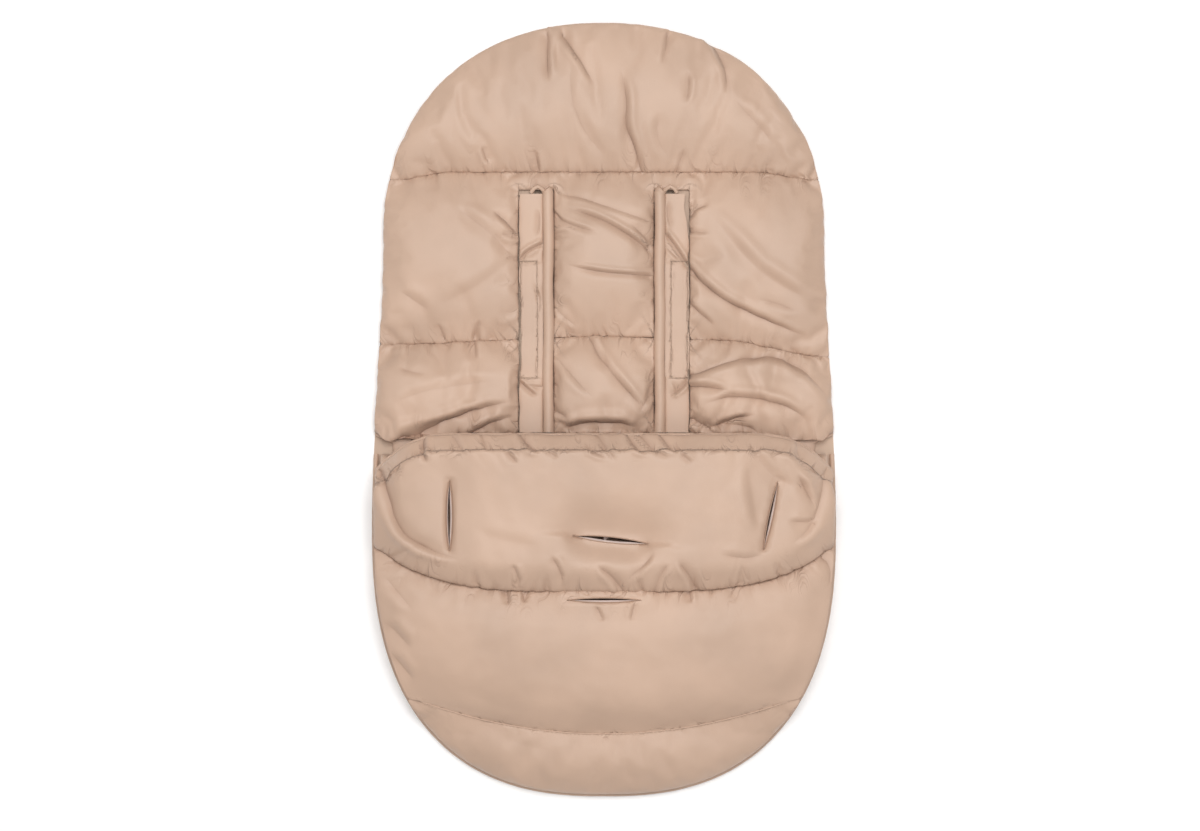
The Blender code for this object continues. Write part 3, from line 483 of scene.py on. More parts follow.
def puckers(spots, line, depth, pitch, reach, seed):
    """Small gathers that run out from a seam and die away, some long and most short."""
    gap, run, _ = nearest(spots, line)
    far = np.abs(gap)
    near = far < 3 * reach
    height = np.zeros(len(spots))
    if not near.any():
        return height
    far, run, gap = far[near], run[near], gap[near]
    lean = noise_at(run / (5 * pitch), np.sign(gap), seed) * 1.6
    wave = noise_at((run + lean * far) / pitch, far / (6 * pitch), seed + 3.1 * np.sign(gap))
    stray = np.clip(noise_at(run / (2.2 * pitch), seed, np.sign(gap)), -0.4, 1)
    long = reach * (0.75 + 1.3 * stray)
    height[near] = (-np.clip(wave - 0.04, 0, 1) * 2.6 + np.clip(-wave, 0, 1) * 0.7) * depth
    height[near] *= (1 - np.exp(-far / (1.2 * MM))) * bell(far, long)
    return height


def marked(spots, folds, seams, seed):
    """The folds' heights, and what the shell's material reads: seams, gathers and fold floors.

    A seam is its line and the depth, pitch and reach of its gathers. A fifth value says how much
    painted shade darkens its groove (0 leaves it out of the material), and a sixth how much shorter
    its gathers are.
    """
    relief, fold_gap, fold_depth = creases(spots, folds)
    close = np.full(len(spots), SEAM_FAR)
    along, groove_shades = np.zeros(len(spots)), np.zeros(len(spots))
    for index, (line, _, _, _, *look) in enumerate(seams):
        # The fifth value is the painted shade of the seam's groove.
        groove_shade, short = (look + [1.0, 1.0][len(look):])[:2]
        if groove_shade:
            gap, run, _ = nearest(spots, line)
            closer = np.abs(gap) * short < close
            close = np.where(closer, np.abs(gap) * short, close)
            along = np.where(closer, run + 1.7 * index + seed + 0.5 * (gap > 0), along)
            groove_shades = np.where(closer, groove_shade, groove_shades)
    return relief, {"seam_close": 1 - close / SEAM_FAR, "seam_run": along, "seam_painted_shade": groove_shades,
                    "fold_gap": fold_gap, "fold_depth": fold_depth}


def edge_reach(mesh, rest):
    """How far each point lies from the sheet's sewn edge, and the way towards it."""
    uses = np.bincount([key for face in mesh.polygons for key in face_edges(mesh, face)],
                       minlength=len(mesh.edges))
    rim = {index for edge in np.nonzero(uses == 1)[0] for index in mesh.edges[edge].vertices}
    tree = KDTree(len(rim))
    for index in rim:
        tree.insert((*rest[index, :2], 0.0), index)
    tree.balance()
    found = [tree.find((x, y, 0.0)) for x, y in rest[:, :2]]
    reach = np.array([gap for _, _, gap in found])
    way = np.array([spot[:2] for spot, _, _ in found]) - rest[:, :2]
    return reach, way / np.maximum(reach, 1e-6)[:, None]


def face_edges(mesh, face):
    return [mesh.loops[index].edge_index for index in face.loop_indices]


BULGE_REACH = 0.0035
PLAIN_BULGE = 0.0024


def quilt(name, bm, base, swell, floor, crest, folds, seams, seed, spare=0.03, bending=0.6,
          lumps=0.0009, fullness=0.78, bulge=level(PLAIN_BULGE), ground=None, sag=level(0.0)):
    """One padded channel from its flat sheet.

    base is the sewn edge's height, and ground what the crown is measured from where that differs.
    crest is the crown's height, swell its shape, fullness how soon it is reached, sag how much
    lower it lies in places, and lumps how uneven it is. bulge is how far the wadding swells out
    beyond the edge, and floor the underside's height.
    """
    mesh = bpy.data.meshes.new(name)
    flat = np.array([vertex.co for vertex in bm.verts])
    x, y = flat[:, 0], flat[:, 1]
    sewn = [vertex.index for vertex in bm.verts if vertex.is_boundary]
    bm.to_mesh(mesh)
    bm.free()
    obj = bpy.data.objects.new(name, mesh)
    scene.collection.objects.link(obj)
    full = crest * swell(x, y)
    start = base(x, y) + 0.5 * full + 0.0004 * noise_at(x * 70, y * 70, seed)
    start[sewn] = base(x[sewn], y[sewn])
    put(mesh, np.column_stack([x, y, start]))
    inflate(obj, sewn, spare, bending)
    places = spots_of(obj.data)
    x_now, y_now = places[:, 0], places[:, 1]
    rise = places[:, 2] - base(x_now, y_now)
    lift = base(x_now, y_now) - (ground or base)(x_now, y_now)
    share = np.clip(rise / np.percentile(rise, 99), 0, 1.1)
    crown = crest - lift - sag(x_now, y_now)
    places[:, 2] += crown * share ** fullness - rise
    put(obj.data, places)

    rest = bpy.data.objects.new("rest", mesh.copy())
    put(rest.data, np.column_stack([x, y, floor(x, y)]))
    scene.collection.objects.link(rest)
    for piece in (obj, rest):
        smooth = piece.modifiers.new("smooth", "SUBSURF")
        smooth.levels = smooth.render_levels = 1
        smooth.boundary_smooth = "PRESERVE_CORNERS"
        baked(piece)
    low = spots_of(rest.data)
    bpy.data.objects.remove(rest)

    mesh = obj.data
    spots = low[:, :2]
    rim_gap, rim_way = edge_reach(mesh, low)
    swollen = bulge(spots[:, 0], spots[:, 1])
    swollen = swollen * rim_gap / BULGE_REACH * np.exp(1 - rim_gap / BULGE_REACH)
    places = spots_of(mesh)
    places[:, :2] += swollen[:, None] * rim_way
    put(mesh, places)
    normals = np.array([vertex.normal for vertex in mesh.vertices])
    relief, marks = marked(spots, folds, seams, seed)
    for index, (line, depth, pitch, reach, *_) in enumerate(seams):
        relief += puckers(spots, line, depth, pitch, reach, seed + 7.3 * index)
    relief += lumps * noise_at(spots[:, 0] * 17, spots[:, 1] * 17, seed)
    relief += 0.25 * lumps * noise_at(spots[:, 0] * 75, spots[:, 1] * 60, seed)
    relief *= eased(rim_gap / (4 * MM))
    put(mesh, places + relief[:, None] * normals)

    bm = bmesh.new()
    bm.from_mesh(mesh)
    for key, values in marks.items():
        layer = bm.verts.layers.float.new(key)
        for vertex, value in zip(bm.verts, values):
            vertex[layer] = value
    under = bm.verts[:]
    bmesh.ops.extrude_face_region(bm, geom=bm.faces[:], use_keep_orig=True)
    for vertex, place in zip(under, low):
        vertex.co = place
    bmesh.ops.recalc_face_normals(bm, faces=bm.faces)
    bm.to_mesh(mesh)
    bm.free()
    mesh.shade_smooth()
    mesh.set_sharp_from_angle(angle=QUILT_SHARP)
    mesh.materials.clear()
    mesh.materials.append(shell)
    return obj


def cross_line(seam, low, high, steps=40):
    """Points of a cross seam between two widths."""
    return [np.array((x, float(seam(x)))) for x in np.linspace(low, high, steps)]


PAD_RIM = 0.026


def slot_gap(x, y):
    """How far a point lies from the nearer harness slot."""
    beside = np.maximum(np.maximum(SLOT_IN - np.abs(x), np.abs(x) - SLOT_OUT), 0)
    return np.hypot(beside, np.maximum(y - SLOT_TOP, 0))


def pad_swell(low, high, reach=0.060):
    """Rise of a back channel between its seams, the outline and the harness slots."""

    def rise(x, y):
        height = domed(rim_distance(x, y), PAD_RIM) * swelling(y - low(x), reach)
        if high is not None:
            height = height * swelling(high(x) - y, 0.060)
        return height * swelling(slot_gap(x, y) + 0.002, 0.014)

    return rise


head_line = cross_line(head_seam, -0.212, 0.212)
low = float(head_seam(HEAD_HALF))
head = quilt(
    "head_quilt",
    grid(132, 44, end_plan(lambda x: head_seam(x) + GAP / 2, half_width(low),
                           rounded_end(low + 0.005, HEAD_END))),
    level(SEAM_TOP), pad_swell(head_seam, None, 0.045), level(FLOOR), 0.0235, seed=2.0,
    spare=0.012, bending=1.1, lumps=0.0006, fullness=0.70,
    folds=[
        ([(-56, 372), (-57, 350), (-55, 326)], 3.6, 2.2, 1, 1, 0),
        ([(-40, 372), (-24, 350), (-9, 323)], 4.2, 2.4, -1, 1, 0),
        ([(-33, 352), (-34, 312), (-20, 278), (2, 252)], 6.0, 1.5, 1),
        ([(16, 345), (23, 310), (21, 283), (30, 262), (38, 240)], 4.6, 2.5, 1, 0, 1),
        ([(63, 372), (61, 358), (57, 344)], 3.4, 1.6, -1, 1, 0),
        ([(54, 300), (52, 270), (66, 250)], 6.0, 1.3, -1),
        ([(83, 340), (84, 322), (80, 303)], 3.4, 1.8, 1),
        ([(104, 366), (116, 352), (122, 334), (121, 312)], 4.6, 2.2, -1, 1, 0),
        ([(128, 312), (142, 296), (158, 279), (170, 262)], 6.0, 1.5, 1),
        ([(-117, 252), (-122, 264)], 2.8, 1.4, 1, 1, 0),
        ([(-66, 244), (-70, 262)], 3.0, 1.5, -1, 1, 0),
        ([(73, 242), (80, 262)], 3.0, 1.4, 1, 1, 0),
    ],
    seams=[(head_line, 0.0016, 0.0085, 0.011),
           (cross_line(lambda x: HEAD_END - 0.004 - 1.9 * x * x, -0.09, 0.09),
            0.0006, 0.012, 0.020, 0.0)],
)
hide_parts("head_pad")
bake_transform(head)


# Shoulder channel of the back pad: the same quilted nylon, between the first two seams. The two
# harness slots part its lower half, and their edges are drawn up by the wadding beside them.

SLOT_FOOT = SEAT_SEAM + 0.003


def back_seam(x):
    """The second seam wanders: it rises to the middle and drops at the right, as photographed."""
    x = np.asarray(x, float)
    return (BACK_SEAM - 0.0045 * eased((-x - 0.080) / 0.130) + 0.0035 * eased(1 - np.abs(x) / 0.12)
            - 0.0170 * eased((x - 0.110) / 0.115))


def seat_lift(x, y):
    """The hidden seat seam is drawn up by the wadding, and most where the hem leaves it bare."""
    lift = 0.0050 + 0.0030 * eased((np.abs(x) - 0.130) / 0.035)
    return lift * domed(rim_distance(x, y), PAD_RIM) * bell(y - SEAT_SEAM, 0.012)


def by_piping(x, y):
    """1 at the piping's side of a slot, where a lifted slot flap needs room."""
    inner = np.abs(x) < (SLOT_IN + SLOT_OUT) / 2
    return inner * bell(SLOT_IN - np.abs(x), 0.009) * bell(np.maximum(y - SLOT_TOP, 0), 0.008)


def slot_sag(x, y):
    return 0.0055 * by_piping(x, y)


def slot_bulge(x, y):
    return PLAIN_BULGE * (1 - 0.8 * by_piping(x, y))


def pad_base(x, y):
    """Sewn edges lie low. Along the slots and under the hem they are drawn up by the wadding."""
    slot = between(0.0122, SEAM_TOP, swelling(slot_gap(x, y), 0.016))
    return np.maximum(slot, SEAM_TOP + seat_lift(x, y))


back_line = cross_line(back_seam, -0.226, 0.226)
slot_lines = [[np.array((side * x, SLOT_FOOT)), np.array((side * x, SLOT_TOP))]
              for side in (-1, 1) for x in (SLOT_IN, SLOT_OUT)]
slot_seams = [(line, 0.0007, 0.0075, 0.0065, 0.4, 1.6) for line in slot_lines]

# The channel's columns beside the slots, across each one and between them, and its rows up to the
# slots' tops and beyond them.
SIDE_COLUMNS, SLOT_COLUMNS, MIDDLE_COLUMNS = 42, 10, 32
SLOT_ROWS, TOP_ROWS = 45, 7


def slotted_x(across, y):
    """Columns of a panel with two slots: side, slot, middle, slot, side."""
    half = MIDDLE_COLUMNS / 2
    place = np.abs(across) * (SIDE_COLUMNS + SLOT_COLUMNS + half)
    x = np.where(place <= half, SLOT_IN * crowded(np.clip(place / half, 0, 1), 0.3),
                 between(SLOT_IN, SLOT_OUT, np.clip((place - half) / SLOT_COLUMNS, 0, 1)))
    beyond = crowded_rows(np.clip((place - half - SLOT_COLUMNS) / SIDE_COLUMNS, 0, 1))
    x = np.where(place > half + SLOT_COLUMNS, between(SLOT_OUT, half_width(y), beyond), x)
    return np.sign(across) * x


def shoulder_plan(across, along):
    """Rows are even up to the slots' tops and then even to the head seam."""
    row = np.round(along * (SLOT_ROWS + TOP_ROWS))
    y = between(BACK_SEAM, HEAD_SEAM, along)
    for _ in range(3):
        x = slotted_x(across, y)
        low, high = back_seam(x) + GAP / 2, head_seam(x) - GAP / 2
        y = np.where(row <= SLOT_ROWS, between(low, SLOT_TOP, row / SLOT_ROWS),
                     between(SLOT_TOP, high, (row - SLOT_ROWS) / TOP_ROWS))
    return x, y


shoulder = quilt(
    "shoulder_quilt",
    grid(2 * SIDE_COLUMNS + 2 * SLOT_COLUMNS + MIDDLE_COLUMNS, SLOT_ROWS + TOP_ROWS, shoulder_plan,
         lambda spot: not (spot.y < SLOT_TOP and SLOT_IN < abs(spot.x) < SLOT_OUT)),
    pad_base, pad_swell(back_seam, head_seam), level(FLOOR), 0.0225, seed=4.0, spare=0.020,
    bending=0.9, bulge=slot_bulge, sag=slot_sag,
    folds=[
        ([(-150, 205), (-128, 188), (-108, 172), (-90, 153)], 6.5, 2.0, 1, 0, 1),
        ([(-112, 200), (-100, 190), (-89, 178)], 3.6, 2.2, -1, 0, 1),
        ([(-104, 176), (-90, 173)], 3.0, 1.2, -1, 0, 1),
        ([(-205, 122), (-185, 108), (-172, 98)], 6.0, 1.3, 1),
        ([(-92, 150), (-130, 120), (-165, 105)], 8.0, 1.4, -1),
        ([(-41, 205), (-24, 198), (-1, 190), (21, 177), (44, 161)], 3.0, 2.6, 1, 0, 1),
        ([(-49, 198), (-42, 190), (-30, 184), (-16, 180), (-5, 176)], 2.6, 1.9, 1, 1, 0),
        ([(-58, 219), (-26, 214), (3, 203), (41, 190)], 3.2, 1.1, -1, 0, 1),
        ([(-54, 176), (-44, 178), (-33, 179)], 2.0, 1.1, 1, 1, 0),
        ([(-54, 173), (-44, 172), (-32, 173)], 2.0, 0.9, -1, 1, 0),
        ([(-39, 147), (-24, 142), (0, 138), (22, 136), (45, 135)], 2.8, 2.2, 1, 0, 1),
        ([(-99, 152), (-89, 153)], 2.4, 1.2, 1, 0, 1),
        ([(-49, 104), (-38, 92), (-26, 84)], 3.0, 1.2, -1, 1, 0),
        ([(24, 188), (44, 170), (49, 150)], 4.0, 1.6, -1),
        ([(86, 192), (94, 203), (106, 206)], 3.4, 1.8, -1, 1, 0),
        ([(83, 179), (95, 178), (106, 177)], 2.6, 1.6, -1, 1, 0),
        ([(84, 196), (90, 205), (93, 213)], 2.4, 1.2, 1, 1, 0),
        ([(85, 143), (97, 129), (114, 114), (136, 101), (169, 87), (205, 74)], 4.6, 3.0, 1, 1, 0),
        ([(100, 203), (116, 184), (134, 160), (156, 138), (184, 120), (222, 104)], 7.5, 2.6, 1, 0, 1),
        ([(86, 108), (97, 97), (111, 85)], 3.6, 1.8, 1, 1, 0),
        ([(150, 112), (172, 108), (196, 98)], 5.0, 1.3, -1),
        ([(-130, 76), (-124, 92)], 3.0, 1.5, 1, 1, 0),
        ([(-160, 75), (-166, 88)], 3.0, 1.2, -1, 1, 0),
    ],
    seams=[(head_line, 0.0015, 0.0080, 0.009), (back_line, 0.0017, 0.0085, 0.012), *slot_seams],
)
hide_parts("shoulder_pad")
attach(shoulder, "back")


# Lumbar channels of the back pad. The slots part the band below the shoulders into a left, a
# middle and a right pad of the same quilted nylon. The cover's hem hides their lower seam.


def even_seam(y):
    """A cross seam that runs straight."""
    return lambda x: y + 0 * x


def lumbar_bulge(x, y):
    """Beside the cover's corners the wadding hangs over the seat seam."""
    side = eased((np.abs(x) - 0.135) / 0.035) * eased((half_width(y) - np.abs(x)) / 0.012)
    return np.maximum(0.0110 * side * bell(y - SEAT_SEAM, 0.010), slot_bulge(x, y))


seat_seam = even_seam(SEAT_SEAM)
LUMBAR_LOW = SEAT_SEAM + GAP / 2
LUMBAR_FOLDS = {
    "left": [
        ([(-204, -21), (-180, -16), (-154, -9), (-126, 1), (-90, 11)], 5.2, 4.4, 1, 1, 0),
        ([(-214, 6), (-178, 20), (-140, 26), (-95, 32)], 6.5, 1.3, 1),
        ([(-134, -22), (-114, -12), (-90, -5)], 4.2, 2.4, 1, 1, 0),
        ([(-130, 66), (-128, 50)], 3.2, 1.3, 1, 1, 0),
        ([(-205, 44), (-190, 38), (-176, 36)], 4.0, 1.0, -1),
    ],
    "middle": [
        ([(-14, 69), (6, 40), (24, 18), (44, -3)], 4.2, 2.3, 1, 1, 0),
        ([(-50, 58), (-30, 34), (-10, 12)], 4.6, 1.4, -1),
        ([(-46, -17), (-28, -13), (6, -12), (38, -15)], 5.6, 5.0, 1),
        ([(-52, 2), (-42, -3), (-34, -7)], 3.2, 1.8, -1, 1, 0),
        ([(52, 20), (40, 10), (34, -4)], 4.0, 1.5, 1, 1, 0),
    ],
    "right": [
        ([(86, 35), (110, 45), (142, 53), (172, 54), (198, 42), (216, 22), (228, 2)],
         5.4, 2.8, -1, 1, 0),
        ([(84, 24), (100, 24), (126, 20)], 4.0, 2.6, 1, 1, 0),
        ([(88, -8), (98, -14), (112, -20)], 4.4, 3.2, -1, 1, 0),
        ([(106, -17), (130, -8), (152, -3)], 3.8, 2.4, 1),
        ([(96, 6), (124, 14), (160, 12), (192, 0), (206, -14)], 5.0, 2.8, 1),
        ([(94, -16), (130, -12), (164, -20)], 4.6, 2.2, -1),
    ],
}
lumbar = {}
LUMBAR_REACH = {"left": (-SLOT_OUT, None), "middle": (-SLOT_IN, SLOT_IN), "right": (SLOT_OUT, None)}
for name, (start, end) in LUMBAR_REACH.items():

    def lumbar_plan(across, along, start=start, end=end):
        y = between(LUMBAR_LOW, BACK_SEAM, along)
        share = (crowded(across) + 1) / 2
        for _ in range(3):
            x = (between(start, end, share) if end is not None
                 else np.sign(start) * between(abs(start), half_width(y), share))
            y = between(LUMBAR_LOW, back_seam(x) - GAP / 2, crowded_rows(along))
        return x, y

    lumbar[name] = quilt(
        "lumbar_quilt_" + name, grid(32 if end else 44, 30, lumbar_plan), pad_base,
        pad_swell(seat_seam, back_seam, 0.030), level(FLOOR), 0.0215, seed=6.0 + start * 9,
        spare=0.026, folds=LUMBAR_FOLDS[name], bulge=lumbar_bulge, sag=slot_sag,
        seams=[(back_line, 0.0016, 0.0080, 0.011),
               (cross_line(seat_seam, -0.23, 0.23), 0.0016, 0.0085, 0.010), *slot_seams],
    )
    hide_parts("lumbar_pad_" + name)
    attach(lumbar[name], "back")
    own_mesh(lumbar[name])


# Pad under the legs: three more channels of quilted nylon, which the cover hides until it is
# opened. They take their shape from the drawn swell alone, and lie just under the lining.

HEM = SEAT_SEAM - 0.0035
ZIP_TOP, ZIP_END, ZIP_INSET = HEM - 0.037, TOE_SEAM + 0.036, 0.010
STRAIGHT_X = float(half_width(ZIP_TOP - 0.127, ZIP_INSET))
TAB_LOW = ZIP_TOP + 0.0003
TAB_HIGH = TAB_LOW + 0.019
LEG_BASE, LEG_CREST = 0.0076, 0.0155
TOE_BASE, TOE_CREST, TOE_INSET = 0.0048, 0.0110, 0.0175


def band_plan(low, high, half):
    """Between two cross seams, with sides that follow half(y)."""

    def plan(across, along):
        y = between(low(0.0), high(0.0), along)
        for _ in range(6):
            x = crowded(across) * half(y)
            y = between(low(x), high(x), crowded_rows(along))
        return x, y

    return plan


def zip_x(y):
    """Where the zips lie: straight down the hips, and then in with the outline."""
    return np.minimum(half_width(y, ZIP_INSET), STRAIGHT_X)


def leg_half(y):
    """The pad is full width up to the side tabs, and below them it lies inside the zips."""
    below = eased((TAB_HIGH + 0.020 - y) / 0.010)
    return between(half_width(y), zip_x(y) - 0.0075, below)


def leg_swell(low, high):
    """Rise of a hidden channel, which lies lower at its corners under the hem's ends."""

    def rise(x, y):
        corner = eased((np.abs(x) - 0.145) / 0.035) * bell(y - SEAT_SEAM + 0.012, 0.022)
        return (domed(leg_half(y) - np.abs(x), PAD_RIM) * swelling(y - low, 0.060)
                * swelling(high - y, 0.032) * (1 - 0.65 * corner))

    return rise


def toe_swell(x, y):
    return domed(rim_distance(x, y) - TOE_INSET, PAD_RIM) * swelling(TOE_SEAM - y, 0.060)


def as_piece(name, bm, finish):
    """Closes a bmesh into a smooth object with one material."""
    bmesh.ops.recalc_face_normals(bm, faces=bm.faces)
    mesh = bpy.data.meshes.new(name)
    bm.to_mesh(mesh)
    bm.free()
    mesh.materials.append(finish)
    mesh.shade_smooth()
    mesh.set_sharp_from_angle(angle=math.radians(60))
    made = bpy.data.objects.new(name, mesh)
    scene.collection.objects.link(made)
    return made


def plain_quilt(name, bm, base, crest, swell, node_name, seed, seams):
    """A hidden channel: the drawn swell with gathers along its seams."""
    x, y = np.array([vertex.co[:2] for vertex in bm.verts]).T
    base = base + 0.4 * seat_lift(x, y) * eased((0.165 - np.abs(x)) / 0.03)
    height = base + crest * swell(x, y)
    gathers = sum(puckers(np.column_stack([x, y]), line, 0.0008, 0.009, 0.011, seed)
                  for line in seams)
    height = height + np.minimum(gathers, 0) * swelling(np.abs(height - base), 0.004)
    under = bm.verts[:]
    for vertex, z in zip(under, height):
        vertex.co.z = z
    bmesh.ops.extrude_face_region(bm, geom=bm.faces[:], use_keep_orig=True)
    for vertex in under:
        vertex.co.z = FLOOR
    obj = as_piece(name, bm, shell)
    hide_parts(node_name)
    return obj


seat_line = cross_line(seat_seam, -0.226, 0.226)
shin_line = cross_line(even_seam(SHIN_SEAM), -0.21, 0.21)
toe_line = cross_line(even_seam(TOE_SEAM), -0.16, 0.16)
seat = plain_quilt(
    "seat_quilt", grid(110, 46, band_plan(even_seam(SHIN_SEAM + GAP / 2),
                                          even_seam(SEAT_SEAM - GAP / 2), leg_half)),
    LEG_BASE, LEG_CREST, leg_swell(SHIN_SEAM, SEAT_SEAM), "seat_pad", 12.0, [seat_line, shin_line])
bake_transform(seat)
shin = plain_quilt(
    "shin_quilt", grid(104, 42, band_plan(even_seam(TOE_SEAM + GAP / 2),
                                          even_seam(SHIN_SEAM - GAP / 2), leg_half)),
    LEG_BASE, LEG_CREST, leg_swell(TOE_SEAM, SHIN_SEAM), "shin_pad", 14.0, [shin_line, toe_line])
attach(shin, "legs")
toe_y = TOE_SEAM - GAP / 2
toes = plain_quilt(
    "toe_quilt", grid(90, 16, end_plan(even_seam(toe_y), half_width(toe_y, TOE_INSET),
                                       rounded_end(toe_y - 0.004, TOE_END + TOE_INSET, TOE_INSET))),
    TOE_BASE, TOE_CREST, toe_swell, "toe_pad", 16.0, [toe_line])
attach(toes, "legs")


# Leg cover: three quilted channels that arch over the legs. The top one ends in a topstitched hem,
# and four belt slits are cut through the cover. It is sewn on round the toes and opens at its sides.

COVER_INSET, COVER_EDGE, COVER_RISE, COVER_SEAM = 0.006, 0.0245, 0.021, 0.005
HEM_STITCH, HEM_SAG = 0.0125, 0.0170
HEM_ROWS, FLAP_ROWS = 4, 50
TOE_BAND = {"start": (0, TOE_SEAM - 0.002, 0), "end": (0, TOE_SEAM + 0.045, 0)}


def shin_seam(x):
    return SHIN_SEAM + 0.043 * np.clip(np.abs(x) / (HIP_HALF - COVER_INSET), 0, 1) ** 4


def toe_seam(x):
    return TOE_SEAM + 0.036 * np.clip(np.abs(x) / half_width(ZIP_END, COVER_INSET), 0, 1) ** 2


def hem_line(x):
    share = np.abs(x) / (HIP_HALF - COVER_INSET)
    return HEM - 0.037 * np.clip((share - 0.66) / 0.34, 0, 1) ** 2.4


def cover_inner(x, y):
    """Underside of the padded cover, arched from side to side."""
    drop = eased((ZIP_END - y) / 0.040)
    inset = between(COVER_INSET, 0.003, drop)
    edge = between(COVER_EDGE, FLOOR + 0.0051, drop)
    share = np.clip(rim_share(x, y) * HIP_HALF / (HIP_HALF - inset), 0, 1)
    return between(COVER_EDGE + COVER_RISE, edge, share ** 3.2)


def cover_half(y):
    return half_width(y, COVER_INSET)


class Slit:
    """A belt slit: its middle, its length, its clockwise lean from the Y axis and its width."""

    def __init__(self, middle, length, lean, width):
        self.middle, self.length, self.lean, self.width = middle, length, lean, width

    def local(self, x, y):
        """Across and along the slit."""
        dx, dy = x - self.middle[0], y - self.middle[1]
        cosine, sine = math.cos(self.lean), math.sin(self.lean)
        return cosine * dx - sine * dy, sine * dx + cosine * dy

    def world(self, across, along):
        cosine, sine = math.cos(self.lean), math.sin(self.lean)
        return (self.middle[0] + cosine * across + sine * along,
                self.middle[1] - sine * across + cosine * along)

    def half(self, along):
        """Half the opening's width: it tapers to both ends."""
        share = np.clip(np.abs(along) / (self.length / 2), 0, 1)
        return self.width / 2 * (1 - share ** 2) ** 0.75

    def reach(self, x, y):
        """Distance from the slit's line."""
        across, along = self.local(x, y)
        return np.hypot(across, np.maximum(np.abs(along) - self.length / 2, 0))

    def cut(self, bm):
        """Opens the slit in a sheet and draws the sheet's points up to its edge."""
        spare = []
        for face in bm.faces:
            across, along = self.local(*face.calc_center_median()[:2])
            if abs(along) < self.length / 2 and abs(across) < max(0.0022, self.half(along)):
                spare.append(face)
        rim = {vertex for face in spare for vertex in face.verts}
        bmesh.ops.delete(bm, geom=spare, context="FACES")
        for vertex in rim:
            if vertex.is_valid and vertex.is_boundary:
                across, along = self.local(vertex.co.x, vertex.co.y)
                along = min(max(along, -self.length / 2), self.length / 2)
                vertex.co.x, vertex.co.y = self.world(
                    math.copysign(float(self.half(along)), across), along)


SLITS = {
    "hip_left": Slit((-0.15225, HEM - 0.078), 0.070, 0.0, 0.0066),
    "hip_right": Slit((0.16425, HEM - 0.078), 0.070, math.radians(12), 0.0052),
    "crotch_upper": Slit((0.007, HEM - 0.1015), 0.076, math.radians(96), 0.0068),
    "crotch_lower": Slit((0.0, SHIN_SEAM - 0.010), 0.074, math.radians(90), 0.0054),
}
FLAP_SLITS = ("hip_left", "hip_right", "crotch_upper")
SLIT_LIFT = {"hip_left": 0.0165, "hip_right": 0.0165, "crotch_upper": 0.0105,
             "crotch_lower": 0.0085}


def cover_side(x, y):
    return domed(cover_half(y) - np.abs(x), 0.030)


def flap_swell(x, y):
    return domed(hem_line(x) - y, 0.018) * swelling(y - shin_seam(x), 0.028) * cover_side(x, y)


def shin_swell(x, y):
    return (swelling(shin_seam(x) - y, 0.050) * swelling(y - toe_seam(x), 0.050)
            * cover_side(x, y))


def flap_sag(x, y):
    """Lower round the hip slits, in the wide hollow above the crotch slit, and along the hem."""
    hips = sum(0.0036 * bell(SLITS[name].reach(x, y), 0.020)
               for name in ("hip_left", "hip_right"))
    across, along = SLITS["crotch_upper"].local(x, y)
    gap = np.hypot(across, np.maximum(np.abs(along) - 0.022, 0))
    hollow = 0.0145 * bell(gap, np.where(across < 0, 0.030, 0.018))
    rim = np.clip((hem_line(x) - y) / 0.0135, 0, 1)
    return np.maximum(hips, hollow) + HEM_SAG * (1 - rim)


def shin_sag(x, y):
    """Lower round the crotch slit, and a gentle slope down to the toe seam."""
    slit = 0.0015 * bell(SLITS["crotch_lower"].reach(x, y), 0.020)
    return slit + 0.0095 * np.exp(-np.maximum(y - toe_seam(x), 0) / 0.022)


def toe_sag(x, y):
    return 0.0080 * np.exp(-np.maximum(toe_seam(x) - y, 0) / 0.012)


def toe_cover_swell(x, y):
    return swelling(toe_seam(x) - y, 0.040) * domed(rim_distance(x, y) - 0.003, 0.030)


def cover_bulge(x, y):
    """The wadding hangs over the zips at the sides, over the shin seam and over the hem's roll."""
    inside = cover_half(y) - np.abs(x)
    side = 0.0048 * bell(inside, 0.012) * eased((hem_line(x) - y) / 0.035)
    seam = 0.0048 * bell(y - shin_seam(x), 0.012) * (y > shin_seam(x))
    seam = seam * (0.5 + 0.5 * eased(inside / 0.025))
    hem = 0.0052 + 0.0016 * noise_at(x * 32, 0 * x, 5.0)
    hem = hem * bell(hem_line(x) - y, 0.012)
    return np.maximum(np.maximum(side, seam), hem)


def cover_base(x, y):
    return cover_inner(x, y) + COVER_SEAM


def slit_base(names):
    """Sewn height of a cover channel: the slits' edges lie part way up the wadding."""

    def base(x, y):
        lift = np.zeros(np.shape(x))
        for name in names:
            near = bell(SLITS[name].reach(x, y), 0.018)
            lift = np.maximum(lift, SLIT_LIFT[name] * near)
        return cover_base(x, y) + lift

    return base


def flap_plan(across, along):
    """Rows gather towards the shin seam and end on the hem's topstitch, with four beyond it."""
    row = np.round(along * FLAP_ROWS)
    body = FLAP_ROWS - HEM_ROWS
    share = crowded_rows(np.clip(row / body, 0, 1))
    y = between(SHIN_SEAM, HEM, along)
    for _ in range(8):
        x = crowded(across) * cover_half(y)
        top = hem_line(x) - HEM_STITCH
        y = np.where(row <= body, between(shin_seam(x) + GAP / 2, top, share),
                     between(top, hem_line(x), (row - body) / HEM_ROWS))
    return x, y


